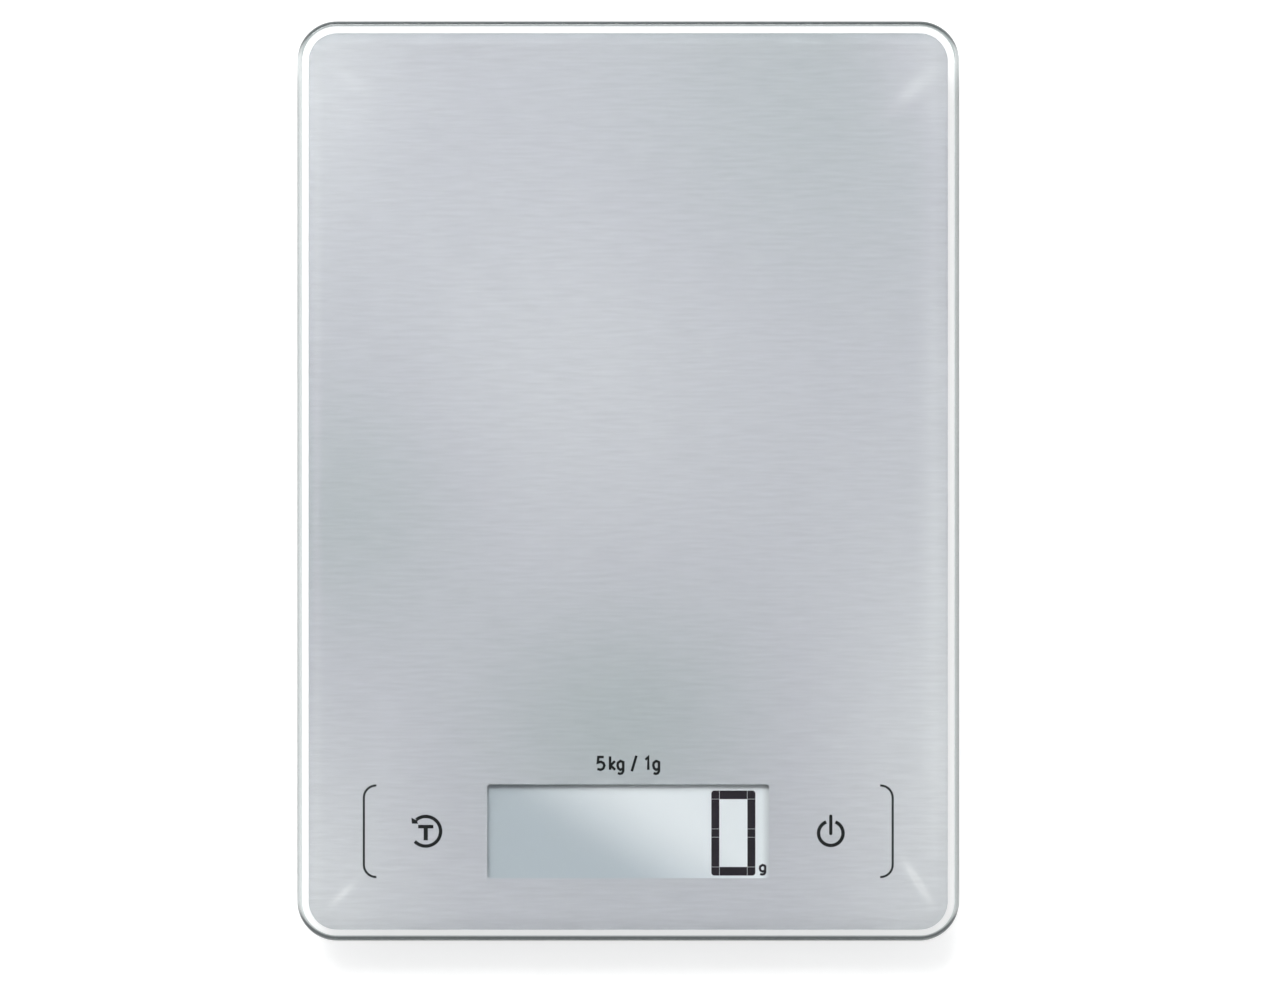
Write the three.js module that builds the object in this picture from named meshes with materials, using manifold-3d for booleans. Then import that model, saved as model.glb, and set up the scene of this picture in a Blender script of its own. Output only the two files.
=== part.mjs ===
// A flat digital kitchen scale: a tempered glass platform bonded to a thin moulded tray that floats on
// four load-cell feet, with a display and two touch keys under the front of the glass and three cells
// behind a hatch underneath.
// Millimetres, +Z up. The origin is the middle of the footprint, on the table. The user stands at -Y.
import * as THREE from 'three';
import { mergeVertices } from 'three/addons/utils/BufferGeometryUtils.js';
import Module from 'manifold-3d';

const wasm = await Module();
wasm.setup();

// ---- Fits ----
const STACK_GAP = 0.1; // between flat faces that rest on each other
const SIDE_GAP = 0.3; // around a piece that drops into a pocket or a recess

// ---- Platform: glass, printed film, bonding tape ----
const PLATE_WIDTH = 200;
const PLATE_DEPTH = 279;
const PLATE_THICKNESS = 5;
const PLATE_CORNER = 12;
const EDGE_CHAMFER = 0.6;
const CLEAR_RIM = 3.4; // bare glass left around the film
const FILM_THICKNESS = 0.3;
const TAPE_THICKNESS = 0.4;
const TAPE_WIDTH = 5;

// ---- Display window and keys ----
const WINDOW_WIDTH = 85.2;
const WINDOW_DEPTH = 28.5;
const WINDOW_CORNER = 1;
const WINDOW_FROM_FRONT = 33.3; // front edge of the glass to the middle of the window
const KEY_FROM_WINDOW = 18.6; // side of the window to the middle of a touch key
const KEY_PAD_RADIUS = 6;

// ---- Tray ----
const TABLE_CLEARANCE = 2.2; // table to the underside of the tray
const TRAY_FLOOR = 1.6;
const TRAY_WALL = 1.8;
const TRAY_INSET_TOP = 11.5; // edge of the glass to the wall, under the flange
const TRAY_INSET_BOTTOM = 13;
const TRAY_EDGE_CHAMFER = 1;
const TRAY_CORNER = 9;
const FLANGE_INSET = 6; // edge of the glass to the edge of the flange it is bonded to
const FLANGE_THICKNESS = 1.2;
const RIB_WIDTH = 1.2;
const RIB_HEIGHT = 2.8;

// ---- Battery bay: three AAA cells side by side along X ----
const CELL_COUNT = 3;
const CELL_RADIUS = 5.25;
const CELL_LENGTH = 44.5;
const CELL_NUB_RADIUS = 1.9;
const CELL_NUB_LENGTH = 0.8;
const CELL_SPACING = 0.8; // between the sides of neighbouring cells
const CELL_CLEARANCE = 0.2;
const SPRING_SPACE = 4.4; // room for a compressed contact spring
const SPRING_WIRE = 0.35;
const CONTACT_THICKNESS = 0.4;
const CONTACT_WIDTH = 8;
const CONTACT_DIMPLE = 0.8;
const BAY_Y = 34;
const BAY_WALL = 1.4;
const BAY_CEILING = 0.8;
const COVER_THICKNESS = 1.2;
const COVER_OVERLAP = 2.4; // how far the cover reaches past the opening on every side
const COVER_CORNER = 2;
const SEAT_RISE = 1.2; // the floor is thicker around the cover
const TAB_WIDTH = 8;
const TAB_SPACING = 30;
const TAB_REACH = 1.6;
const TAB_THICKNESS = 1;
const LATCH_WIDTH = 10;
const LATCH_LENGTH = 8;
const LATCH_RISE = 2;
const LATCH_SLOT = 0.8;
const GROOVE_LENGTH = 18; // finger grip moulded into the cover
const GROOVE_WIDTH = 0.8;
const GROOVE_DEPTH = 0.3;
const THUMB_WIDTH = 16;
const THUMB_DEPTH = 7;

// ---- Feet and load cells ----
const LOAD_CELL_SIZE = 30;
const LOAD_CELL_THICKNESS = 2;
const LOAD_CELL_FRAME = 3.5;
const TONGUE_WIDTH = 12;
const TONGUE_LENGTH = 17.5;
const POCKET_WALL = 1.2;
const POCKET_FLOOR = 0.8; // rim that lifts the load cell off the tray floor
const POCKET_HEIGHT = 1.6; // pocket wall beside the load cell
const FOOT_RADIUS = 12;
const FOOT_HOLE_GAP = 1;
const FOOT_BOSS_RADIUS = 4;
const PAD_RADIUS = 10;
const PAD_THICKNESS = 1.6;
const PAD_PROUD = 0.9; // rubber showing below the foot cup
const OVERLOAD_TRAVEL = 0.5;
const GAUGE_THICKNESS = 0.3;

// ---- Electronics ----
const BOARD_Z = 8;
const BOARD_THICKNESS = 1.6;
const BOARD_PAST_KEY = 13;
const BOARD_FRONT = 18.6; // window middle to the front edge of the board
const BOARD_BACK = 26.4;
const BOARD_CORNER = 5;
const SCREW_INSET = 3.2;
const SCREW_FROM_WINDOW_END = 12.6;
const SCREW_RADIUS = 1;
const SCREW_HEAD_RADIUS = 2.3;
const SCREW_HEAD_HEIGHT = 1.4;
const SCREW_LENGTH = 4;
const BOSS_RADIUS = 2.6;
const LCD_OVERLAP = 2.4; // display glass past the window on every side
const LCD_THICKNESS = 2.2;
const LCD_STEP = 2; // the lower glass carries the contacts past the upper one
const LCD_RECESS = 1.2; // film to display face
const FRAME_WALL = 1.5;
const FRAME_LIP = 0.5;
const REFLECTOR_THICKNESS = 0.4;
const CONNECTOR_WIDTH = 2;
const CHIP_SIZE = 12;
const CHIP_HEIGHT = 1.4;
const LEAD_RADIUS = 0.5;
const BATTERY_LEAD_RADIUS = 0.6;

// ---- Unit button on the underside ----
const BUTTON_RADIUS = 4;
const BUTTON_HOLE_GAP = 0.4;
const BUTTON_RECESS = 0.3;
const BUTTON_FLANGE = 1.2;
const BUTTON_FLANGE_THICKNESS = 0.6;
const BUTTON_TRAVEL = 0.6;
const SWITCH_SIZE = 6.2;
const SWITCH_HEIGHT = 2.3;
const PLUNGER_RADIUS = 1.5;
const PLUNGER_LENGTH = 1.5;

// ---- Levels, from the table up ----
const FLOOR_TOP = TABLE_CLEARANCE + TRAY_FLOOR;
const COVER_TOP = TABLE_CLEARANCE + COVER_THICKNESS;
const CELL_AXIS_Z = COVER_TOP + CELL_CLEARANCE + CELL_RADIUS;
const CEILING_Z = CELL_AXIS_Z + CELL_RADIUS + CELL_CLEARANCE;
const RIM_Z = CEILING_Z + BAY_CEILING;
const FILM_Z = RIM_Z + TAPE_THICKNESS;
const GLASS_Z = FILM_Z + FILM_THICKNESS;
const SEAT_TOP = FLOOR_TOP + SEAT_RISE;
const LOAD_CELL_Z = FLOOR_TOP + POCKET_FLOOR;
const BOARD_TOP = BOARD_Z + BOARD_THICKNESS;
const LCD_TOP = FILM_Z - LCD_RECESS;
const LCD_Z = LCD_TOP - LCD_THICKNESS;

// ---- Places in plan ----
const WINDOW_Y = -PLATE_DEPTH / 2 + WINDOW_FROM_FRONT;
const KEY_X = WINDOW_WIDTH / 2 + KEY_FROM_WINDOW;
const POCKET_INNER = LOAD_CELL_SIZE + 2 * SIDE_GAP;
const POCKET_OUTER = POCKET_INNER + 2 * POCKET_WALL;
const FOOT_X = PLATE_WIDTH / 2 - TRAY_INSET_BOTTOM - TRAY_WALL - POCKET_OUTER / 2 - SIDE_GAP;
const FOOT_Y = PLATE_DEPTH / 2 - TRAY_INSET_BOTTOM - TRAY_WALL - POCKET_OUTER / 2 - SIDE_GAP;
const CELL_PITCH = 2 * CELL_RADIUS + CELL_SPACING;
const CONTACT_ROOM = CONTACT_THICKNESS + CELL_CLEARANCE;
const BAY_LENGTH = CELL_LENGTH + SPRING_SPACE + 2 * CONTACT_ROOM + CONTACT_DIMPLE;
const BAY_WIDTH = (CELL_COUNT - 1) * CELL_PITCH + 2 * (CELL_RADIUS + CELL_CLEARANCE) + 1;
const COVER_LENGTH = BAY_LENGTH + 2 * COVER_OVERLAP;
const COVER_WIDTH = BAY_WIDTH + 2 * COVER_OVERLAP;
const BOARD_HALF = KEY_X + BOARD_PAST_KEY;
const BOARD_BACK_Y = WINDOW_Y + BOARD_BACK;
const SCREW_Y = BOARD_BACK_Y - SCREW_INSET;
const SCREW_XS = [
  WINDOW_WIDTH / 2 - SCREW_FROM_WINDOW_END,
  Math.min(FOOT_X, BOARD_HALF - SCREW_INSET),
];
const LCD_LENGTH = WINDOW_WIDTH + 2 * LCD_OVERLAP;
const LCD_DEPTH = WINDOW_DEPTH + 2 * LCD_OVERLAP;
const TAB_SLOT_Z = CELL_AXIS_Z + 1.2;

const FINISHES = {
  glass: { color: 0xdfeceb, roughness: 0.05, metalness: 0 },
  brushedFilm: { color: 0xc0c5cb, roughness: 0.35, metalness: 0.8 },
  foamTape: { color: 0x3a3c3e, roughness: 0.95, metalness: 0 },
  trayPlastic: { color: 0x6e7276, roughness: 0.6, metalness: 0 },
  footPlastic: { color: 0x55595c, roughness: 0.6, metalness: 0 },
  rubber: { color: 0x2c2d2e, roughness: 0.9, metalness: 0 },
  spring: { color: 0xb9bcbe, roughness: 0.3, metalness: 1 },
  loadCellSteel: { color: 0x9ba0a4, roughness: 0.4, metalness: 1 },
  gaugeFilm: { color: 0xb98a3c, roughness: 0.5, metalness: 0 },
  cellSleeve: { color: 0x39506b, roughness: 0.4, metalness: 0.2 },
  board: { color: 0x2f6b45, roughness: 0.5, metalness: 0 },
  chip: { color: 0x1b1c1e, roughness: 0.5, metalness: 0 },
  display: { color: 0xc4cdd3, roughness: 0.2, metalness: 0 },
  whitePlastic: { color: 0xe6e8ea, roughness: 0.6, metalness: 0 },
  connectorRubber: { color: 0xd98fa0, roughness: 0.8, metalness: 0 },
  conductiveFoam: { color: 0x48494b, roughness: 0.95, metalness: 0 },
  leadGrey: { color: 0x8a8d90, roughness: 0.6, metalness: 0 },
  leadRed: { color: 0xa8322c, roughness: 0.6, metalness: 0 },
  leadBlack: { color: 0x232426, roughness: 0.6, metalness: 0 },
};

// ---- Geometry helpers ----

// A block lofted through rounded rectangles, each { w, d, r, z }, from the lowest to the highest.
function roundedBlock(levels, cornerSteps = 6) {
  const perRing = 4 * (cornerSteps + 1);
  const positions = [];
  for (const { w, d, r, z } of levels) {
    for (let corner = 0; corner < 4; corner += 1) {
      const sideX = corner === 0 || corner === 3 ? 1 : -1;
      const sideY = corner < 2 ? 1 : -1;
      for (let step = 0; step <= cornerSteps; step += 1) {
        const angle = (corner + step / cornerSteps) * (Math.PI / 2);
        positions.push(sideX * (w / 2 - r) + r * Math.cos(angle));
        positions.push(sideY * (d / 2 - r) + r * Math.sin(angle), z);
      }
    }
  }
  const bottomCentre = positions.length / 3;
  positions.push(0, 0, levels[0].z, 0, 0, levels[levels.length - 1].z);
  const topRing = (levels.length - 1) * perRing;
  const indices = [];
  for (let i = 0; i < perRing; i += 1) {
    const next = (i + 1) % perRing;
    indices.push(bottomCentre, next, i);
    indices.push(bottomCentre + 1, topRing + i, topRing + next);
    for (let ring = 0; ring < topRing; ring += perRing) {
      indices.push(ring + i, ring + next, ring + perRing + next);
      indices.push(ring + i, ring + perRing + next, ring + perRing + i);
    }
  }
  const geometry = new THREE.BufferGeometry();
  geometry.setAttribute('position', new THREE.Float32BufferAttribute(positions, 3));
  geometry.setIndex(indices);
  return geometry;
}

// A plain box standing on z, centred on x and y.
function box(w, d, h, x = 0, y = 0, z = 0) {
  return new THREE.BoxGeometry(w, d, h).translate(x, y, z + h / 2);
}

// An upright cylinder standing on z.
function drum(radius, height, x = 0, y = 0, z = 0, segments = 32) {
  const cylinder = new THREE.CylinderGeometry(radius, radius, height, segments);
  return cylinder.rotateX(Math.PI / 2).translate(x, y, z + height / 2);
}

// A body turned about the Z axis from [radius, z] points.
function turned(profile, segments = 32) {
  const points = profile.map(([radius, z]) => new THREE.Vector2(radius, z));
  return new THREE.LatheGeometry(points, segments).rotateX(Math.PI / 2);
}

// A round wire or lead along a curve.
function wire(curve, radius, steps, sides) {
  const corners = Array.from({ length: sides }, (_, side) => {
    const angle = 2 * Math.PI * side / sides;
    return new THREE.Vector2(radius * Math.cos(angle), radius * Math.sin(angle));
  });
  const options = { steps, bevelEnabled: false, extrudePath: curve };
  return new THREE.ExtrudeGeometry(new THREE.Shape(corners), options);
}

function solid(geometry) {
  const bare = geometry.clone();
  bare.deleteAttribute('normal');
  bare.deleteAttribute('uv');
  const merged = mergeVertices(bare, 1e-4);
  return new wasm.Manifold(new wasm.Mesh({
    numProp: 3,
    vertProperties: new Float32Array(merged.attributes.position.array),
    triVerts: new Uint32Array(merged.index.array),
  }));
}

function joined(...geometries) {
  return geometries.map(solid).reduce((whole, part) => whole.add(part));
}

function cutAll(whole, cutters) {
  return cutters.reduce((rest, cutter) => rest.subtract(solid(cutter)), whole);
}

function surfaceOf(manifold) {
  const mesh = manifold.getMesh();
  const geometry = new THREE.BufferGeometry();
  geometry.setAttribute('position', new THREE.BufferAttribute(mesh.vertProperties, 3));
  geometry.setIndex(new THREE.BufferAttribute(mesh.triVerts, 1));
  geometry.computeVertexNormals();
  return geometry;
}

const scale = new THREE.Group();

function addPiece(name, geometry, finish, parent = scale) {
  const mesh = new THREE.Mesh(geometry, new THREE.MeshStandardMaterial(FINISHES[finish]));
  mesh.name = name;
  parent.add(mesh);
  return mesh;
}

function groupAt(x, y, z) {
  const group = new THREE.Group();
  group.position.set(x, y, z);
  scale.add(group);
  return group;
}

// A level of the plate's outline, inset all round and no tighter than the given corner.
function plateLevel(inset, z, corner = Math.max(PLATE_CORNER - inset, 1)) {
  return { w: PLATE_WIDTH - 2 * inset, d: PLATE_DEPTH - 2 * inset, r: corner, z };
}

// ---- Platform ----

function glassPlatform() {
  return roundedBlock([
    plateLevel(EDGE_CHAMFER, 0),
    plateLevel(0, EDGE_CHAMFER),
    plateLevel(0, PLATE_THICKNESS - EDGE_CHAMFER),
    plateLevel(EDGE_CHAMFER, PLATE_THICKNESS),
  ], 8);
}

function windowLevel(margin, z, corner) {
  return { w: WINDOW_WIDTH + 2 * margin, d: WINDOW_DEPTH + 2 * margin, r: corner, z };
}

function printedFilm() {
  const sheet = solid(roundedBlock([plateLevel(CLEAR_RIM, 0), plateLevel(CLEAR_RIM, FILM_THICKNESS)]));
  const opening = roundedBlock([
    windowLevel(0, -1, WINDOW_CORNER),
    windowLevel(0, FILM_THICKNESS + 1, WINDOW_CORNER),
  ], 3).translate(0, WINDOW_Y, 0);
  return surfaceOf(cutAll(sheet, [opening]));
}

function bondingTape() {
  const outerInset = FLANGE_INSET + SIDE_GAP;
  const innerInset = outerInset + TAPE_WIDTH;
  const ring = solid(roundedBlock([
    plateLevel(outerInset, 0, TRAY_CORNER),
    plateLevel(outerInset, TAPE_THICKNESS - STACK_GAP, TRAY_CORNER),
  ], 4));
  const middle = roundedBlock([
    plateLevel(innerInset, -1, TRAY_CORNER - 2),
    plateLevel(innerInset, TAPE_THICKNESS + 1, TRAY_CORNER - 2),
  ], 4);
  return surfaceOf(cutAll(ring, [middle]));
}

// ---- Tray ----

function trayShell() {
  const wallTop = RIM_Z - FLANGE_THICKNESS;
  const outside = solid(roundedBlock([
    plateLevel(TRAY_INSET_BOTTOM + TRAY_EDGE_CHAMFER, TABLE_CLEARANCE, TRAY_CORNER - TRAY_EDGE_CHAMFER),
    plateLevel(TRAY_INSET_BOTTOM, TABLE_CLEARANCE + TRAY_EDGE_CHAMFER, TRAY_CORNER),
    plateLevel(TRAY_INSET_TOP, wallTop - SIDE_GAP, TRAY_CORNER),
    plateLevel(FLANGE_INSET, wallTop, TRAY_CORNER),
    plateLevel(FLANGE_INSET, RIM_Z, TRAY_CORNER),
  ]));
  const cavity = roundedBlock([
    plateLevel(TRAY_INSET_BOTTOM + TRAY_WALL, FLOOR_TOP, TRAY_CORNER - TRAY_WALL),
    plateLevel(TRAY_INSET_TOP + TRAY_WALL, RIM_Z + 1, TRAY_CORNER - TRAY_WALL),
  ]);
  return cutAll(outside, [cavity]);
}

function trayRibs() {
  const length = PLATE_DEPTH - 2 * (TRAY_INSET_BOTTOM + TRAY_WALL) + 0.4;
  const width = PLATE_WIDTH - 2 * (TRAY_INSET_BOTTOM + TRAY_WALL) + 0.4;
  const ribZ = FLOOR_TOP - TRAY_FLOOR / 2;
  const height = RIB_HEIGHT + TRAY_FLOOR / 2;
  const bayHalf = COVER_WIDTH / 2 + 12;
  const front = BOARD_BACK_Y + 6;
  const alongY = length / 2 - front;
  const ribs = [front + 8, BAY_Y - bayHalf, BAY_Y + bayHalf].map(
    (y) => box(width, RIB_WIDTH, height, 0, y, ribZ),
  );
  for (const x of [-1, 1].map((side) => side * (COVER_LENGTH / 2 + 14))) {
    ribs.push(box(RIB_WIDTH, alongY, height, x, (front + length / 2) / 2, ribZ));
  }
  return ribs;
}

function atFeet(make) {
  return [-1, 1].flatMap((sideX) => [-1, 1].map((sideY) => make(sideX * FOOT_X, sideY * FOOT_Y)));
}

function screwPlaces() {
  return SCREW_XS.flatMap((x) => [[-x, SCREW_Y], [x, SCREW_Y]]);
}

function coverOutline(margin, z) {
  return { w: COVER_LENGTH + 2 * margin, d: COVER_WIDTH + 2 * margin, r: COVER_CORNER + margin, z };
}

function bottomTray() {
  const sunk = FLOOR_TOP - TRAY_FLOOR / 2; // additions start inside the floor, so that they fuse with it
  const seatMargin = SIDE_GAP + 1.4;
  const latchEdge = BAY_Y - COVER_WIDTH / 2;
  const additions = [
    ...trayRibs(),
    ...atFeet((x, y) => box(
      POCKET_OUTER, POCKET_OUTER, LOAD_CELL_Z + POCKET_HEIGHT - sunk, x, y, sunk,
    )),
    ...screwPlaces().map(([x, y]) => drum(BOSS_RADIUS, BOARD_Z - STACK_GAP - sunk, x, y, sunk, 16)),
    roundedBlock([coverOutline(seatMargin, sunk), coverOutline(seatMargin, SEAT_TOP)], 3)
      .translate(0, BAY_Y, 0),
    box(THUMB_WIDTH + 3, THUMB_DEPTH + 4, SEAT_TOP - sunk, 0, latchEdge - THUMB_DEPTH / 2, sunk),
    box(BAY_LENGTH + 2 * BAY_WALL, BAY_WIDTH + 2 * BAY_WALL, RIM_Z - sunk, 0, BAY_Y, sunk),
  ];
  const whole = additions.map(solid).reduce((sum, part) => sum.add(part), trayShell());
  const below = TABLE_CLEARANCE - 1;
  const hingeEdge = BAY_Y + COVER_WIDTH / 2;
  const notchTop = SEAT_TOP + SEAT_RISE + TAB_THICKNESS;
  const notchDepth = COVER_OVERLAP + SIDE_GAP + 1;
  const contactSlot = BAY_WALL + 1;
  return surfaceOf(cutAll(whole, [
    ...atFeet((x, y) => box(POCKET_INNER, POCKET_INNER, 10, x, y, LOAD_CELL_Z)),
    ...atFeet((x, y) => drum(FOOT_RADIUS + FOOT_HOLE_GAP, 10, x, y, below, 32)),
    ...screwPlaces().map(([x, y]) => drum(SCREW_RADIUS + 0.2, 10, x, y, SEAT_TOP - 0.5, 12)),
    drum(BUTTON_RADIUS + BUTTON_HOLE_GAP, 4, 0, WINDOW_Y, below, 24),
    box(BAY_LENGTH, BAY_WIDTH, CEILING_Z - below, 0, BAY_Y, below),
    roundedBlock([coverOutline(SIDE_GAP, below), coverOutline(SIDE_GAP, COVER_TOP + STACK_GAP)], 3)
      .translate(0, BAY_Y, 0),
    ...[-1, 1].map((side) => box(
      TAB_WIDTH + 2 * SIDE_GAP, notchDepth, notchTop - COVER_TOP,
      side * TAB_SPACING / 2, hingeEdge + SIDE_GAP - notchDepth / 2, COVER_TOP,
    )),
    box(
      LATCH_WIDTH + 2 * SIDE_GAP, notchDepth, LATCH_RISE + 1,
      0, latchEdge - SIDE_GAP + notchDepth / 2, COVER_TOP,
    ),
    box(THUMB_WIDTH, THUMB_DEPTH + 1, FLOOR_TOP - below, 0, latchEdge - THUMB_DEPTH / 2, below),
    ...[-1, 1].map((side) => box(
      contactSlot, 3.6, 1, side * (BAY_LENGTH / 2 + BAY_WALL / 2),
      BAY_Y + side * CELL_PITCH, TAB_SLOT_Z - 0.3,
    )),
  ]));
}

// ---- Battery bay ----

// The cover lies flat at its bay's middle. Two tabs hook over the tray at +Y, and a springy latch that is
// moulded into the cover holds it at -Y.
function batteryCover() {
  const half = COVER_WIDTH / 2;
  const tabTop = SEAT_TOP + 2 * STACK_GAP + TAB_THICKNESS - TABLE_CLEARANCE;
  const postDepth = COVER_OVERLAP - BAY_WALL + 0.2;
  const hookDepth = postDepth + TAB_REACH;
  const root = COVER_THICKNESS / 2; // additions start inside the plate, so that they fuse with it
  const plate = solid(roundedBlock([
    coverOutline(-0.4, 0),
    coverOutline(0, 0.4),
    coverOutline(0, COVER_THICKNESS),
  ], 3));
  const additions = [-1, 1].flatMap((side) => {
    const x = side * TAB_SPACING / 2;
    return [
      box(TAB_WIDTH, postDepth, tabTop - root, x, half - postDepth / 2, root),
      box(TAB_WIDTH, hookDepth, TAB_THICKNESS, x, half + TAB_REACH - hookDepth / 2, tabTop - TAB_THICKNESS),
    ];
  });
  additions.push(box(LATCH_WIDTH, 1, COVER_THICKNESS + LATCH_RISE - root, 0, 0.5 - half, root));
  const slotY = LATCH_LENGTH / 2 - half - 0.1;
  const slots = [-1, 1].map((side) => box(
    LATCH_SLOT, LATCH_LENGTH, COVER_THICKNESS + 2, side * (LATCH_WIDTH + LATCH_SLOT) / 2, slotY, -1,
  ));
  const firstGroove = LATCH_LENGTH - half + 4;
  const grooves = [0, 1, 2, 3].map((row) => box(
    GROOVE_LENGTH, GROOVE_WIDTH, 1, 0, firstGroove + 2.5 * row * GROOVE_WIDTH, GROOVE_DEPTH - 1,
  ));
  const whole = additions.map(solid).reduce((sum, part) => sum.add(part), plate);
  return surfaceOf(cutAll(whole, [...slots, ...grooves]));
}

function batteryCell() {
  const body = CELL_LENGTH - CELL_NUB_LENGTH;
  const edge = 0.5;
  return turned([
    [0, 0],
    [CELL_RADIUS - edge, 0],
    [CELL_RADIUS, edge],
    [CELL_RADIUS, body - edge],
    [CELL_RADIUS - edge, body],
    [CELL_NUB_RADIUS, body],
    [CELL_NUB_RADIUS, CELL_LENGTH],
    [0, CELL_LENGTH],
  ], 20);
}

// The contact plates stand against the ends of the bay. side is -1 or 1 along X, rows are places in Y.
function contactPlate(side, rows, dimpleRow, tabRow) {
  const wallFace = BAY_LENGTH / 2 - CELL_CLEARANCE / 2;
  const x = side * (wallFace - CONTACT_THICKNESS / 2);
  const height = 2 * CELL_RADIUS - 1.5;
  const low = CELL_AXIS_Z - height / 2;
  const middle = (rows[0] + rows[rows.length - 1]) / 2;
  const width = rows[rows.length - 1] - rows[0] + CONTACT_WIDTH;
  let plate = solid(box(CONTACT_THICKNESS, width, height, x, middle, low));
  if (dimpleRow !== undefined) {
    const dimple = new THREE.CylinderGeometry(1.4, 1.8, CONTACT_DIMPLE, 16).rotateZ(side * Math.PI / 2);
    const dimpleX = wallFace - CONTACT_THICKNESS - CONTACT_DIMPLE / 2 + 0.1;
    dimple.translate(side * dimpleX, dimpleRow, CELL_AXIS_Z);
    plate = plate.add(solid(dimple));
  }
  if (tabRow !== undefined) {
    const reach = BAY_WALL + 3.4;
    const tab = box(reach, 3, CONTACT_THICKNESS, side * (wallFace + reach / 2 - 0.2), tabRow, TAB_SLOT_Z);
    plate = plate.add(solid(tab));
  }
  return surfaceOf(plate);
}

class ConicalCoil extends THREE.Curve {
  constructor(length, wideRadius, narrowRadius, turns) {
    super();
    Object.assign(this, { length, wideRadius, narrowRadius, turns });
  }

  getPoint(t, target = new THREE.Vector3()) {
    const radius = this.wideRadius + (this.narrowRadius - this.wideRadius) * t;
    const angle = 2 * Math.PI * this.turns * t;
    return target.set(this.length * t, radius * Math.cos(angle), radius * Math.sin(angle));
  }
}

function addBatteryBay() {
  const bay = groupAt(0, BAY_Y, 0);
  addPiece('battery_cover', batteryCover(), 'trayPlastic', bay).position.z = TABLE_CLEARANCE;
  const rows = [-CELL_PITCH, 0, CELL_PITCH];
  const plateFace = BAY_LENGTH / 2 - CELL_CLEARANCE / 2 - CONTACT_THICKNESS;
  rows.forEach((row, index) => {
    const nubSide = index === 1 ? -1 : 1; // the middle cell lies the other way round
    const cell = addPiece(`battery_${index + 1}`, batteryCell(), 'cellSleeve', bay);
    const nubEnd = plateFace - CONTACT_DIMPLE;
    cell.position.set(nubSide * (nubEnd - CELL_LENGTH), row, CELL_AXIS_Z);
    cell.rotation.y = nubSide * Math.PI / 2;
    const start = plateFace - SPRING_WIRE - STACK_GAP;
    const end = CELL_LENGTH - nubEnd + SPRING_WIRE + STACK_GAP;
    const coil = new ConicalCoil(start - end, CONTACT_WIDTH / 2 - 0.6, 2, 2.5);
    const spring = addPiece(`contact_spring_${index + 1}`, wire(coil, SPRING_WIRE, 30, 5), 'spring', bay);
    spring.position.set(-nubSide * start, row, CELL_AXIS_Z);
    spring.rotation.z = nubSide > 0 ? 0 : Math.PI;
  });
  addPiece('negative_contact', contactPlate(-1, [rows[0]], undefined, rows[0]), 'spring', bay);
  addPiece('bridge_contact_right', contactPlate(1, [rows[0], rows[1]], rows[0]), 'spring', bay);
  addPiece('bridge_contact_left', contactPlate(-1, [rows[1], rows[2]], rows[1]), 'spring', bay);
  addPiece('positive_contact', contactPlate(1, [rows[2]], rows[2], rows[2]), 'spring', bay);
}

// ---- Feet ----

function loadCell() {
  const half = LOAD_CELL_SIZE / 2;
  const inner = half - LOAD_CELL_FRAME;
  const root = inner;
  const tip = inner - TONGUE_LENGTH;
  const side = TONGUE_WIDTH / 2;
  const outline = new THREE.Shape([
    [-half + 1, -half], [half - 1, -half], [half, -half + 1], [half, half - 1],
    [half - 1, half], [-half + 1, half], [-half, half - 1], [-half, -half + 1],
  ].map(([x, y]) => new THREE.Vector2(x, y)));
  outline.holes.push(new THREE.Path([
    [-inner, root], [-inner, -inner], [inner, -inner], [inner, root],
    [side, root], [side, tip], [-side, tip], [-side, root],
  ].map(([x, y]) => new THREE.Vector2(x, y))));
  return new THREE.ExtrudeGeometry(outline, { depth: LOAD_CELL_THICKNESS, bevelEnabled: false });
}

function footCup() {
  const top = FLOOR_TOP - OVERLOAD_TRAVEL;
  const recess = PAD_THICKNESS + STACK_GAP;
  const chamfer = 0.4;
  return turned([
    [0, recess],
    [PAD_RADIUS + SIDE_GAP, recess],
    [PAD_RADIUS + SIDE_GAP, PAD_PROUD],
    [FOOT_RADIUS - chamfer, PAD_PROUD],
    [FOOT_RADIUS, PAD_PROUD + chamfer],
    [FOOT_RADIUS, top],
    [FOOT_BOSS_RADIUS, top],
    [FOOT_BOSS_RADIUS, LOAD_CELL_Z - STACK_GAP],
    [0, LOAD_CELL_Z - STACK_GAP],
  ]);
}

function footPad() {
  const chamfer = 0.4;
  return turned([
    [0, 0],
    [PAD_RADIUS - chamfer, 0],
    [PAD_RADIUS, chamfer],
    [PAD_RADIUS, PAD_THICKNESS],
    [0, PAD_THICKNESS],
  ]);
}

function addFoot(place, sideX, sideY) {
  const foot = groupAt(sideX * FOOT_X, sideY * FOOT_Y, 0);
  addPiece(`foot_cup_${place}`, footCup(), 'footPlastic', foot);
  addPiece(`foot_pad_${place}`, footPad(), 'rubber', foot);
  addPiece(`load_cell_${place}`, loadCell(), 'loadCellSteel', foot).position.z = LOAD_CELL_Z;
  const gaugeY = LOAD_CELL_SIZE / 2 - LOAD_CELL_FRAME - 5;
  const gauge = box(6, 5, GAUGE_THICKNESS - STACK_GAP, 0, gaugeY, STACK_GAP);
  const gaugeMesh = addPiece(`strain_gauge_${place}`, gauge, 'gaugeFilm', foot);
  gaugeMesh.position.z = LOAD_CELL_Z + LOAD_CELL_THICKNESS;
}

// ---- Electronics ----

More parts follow.
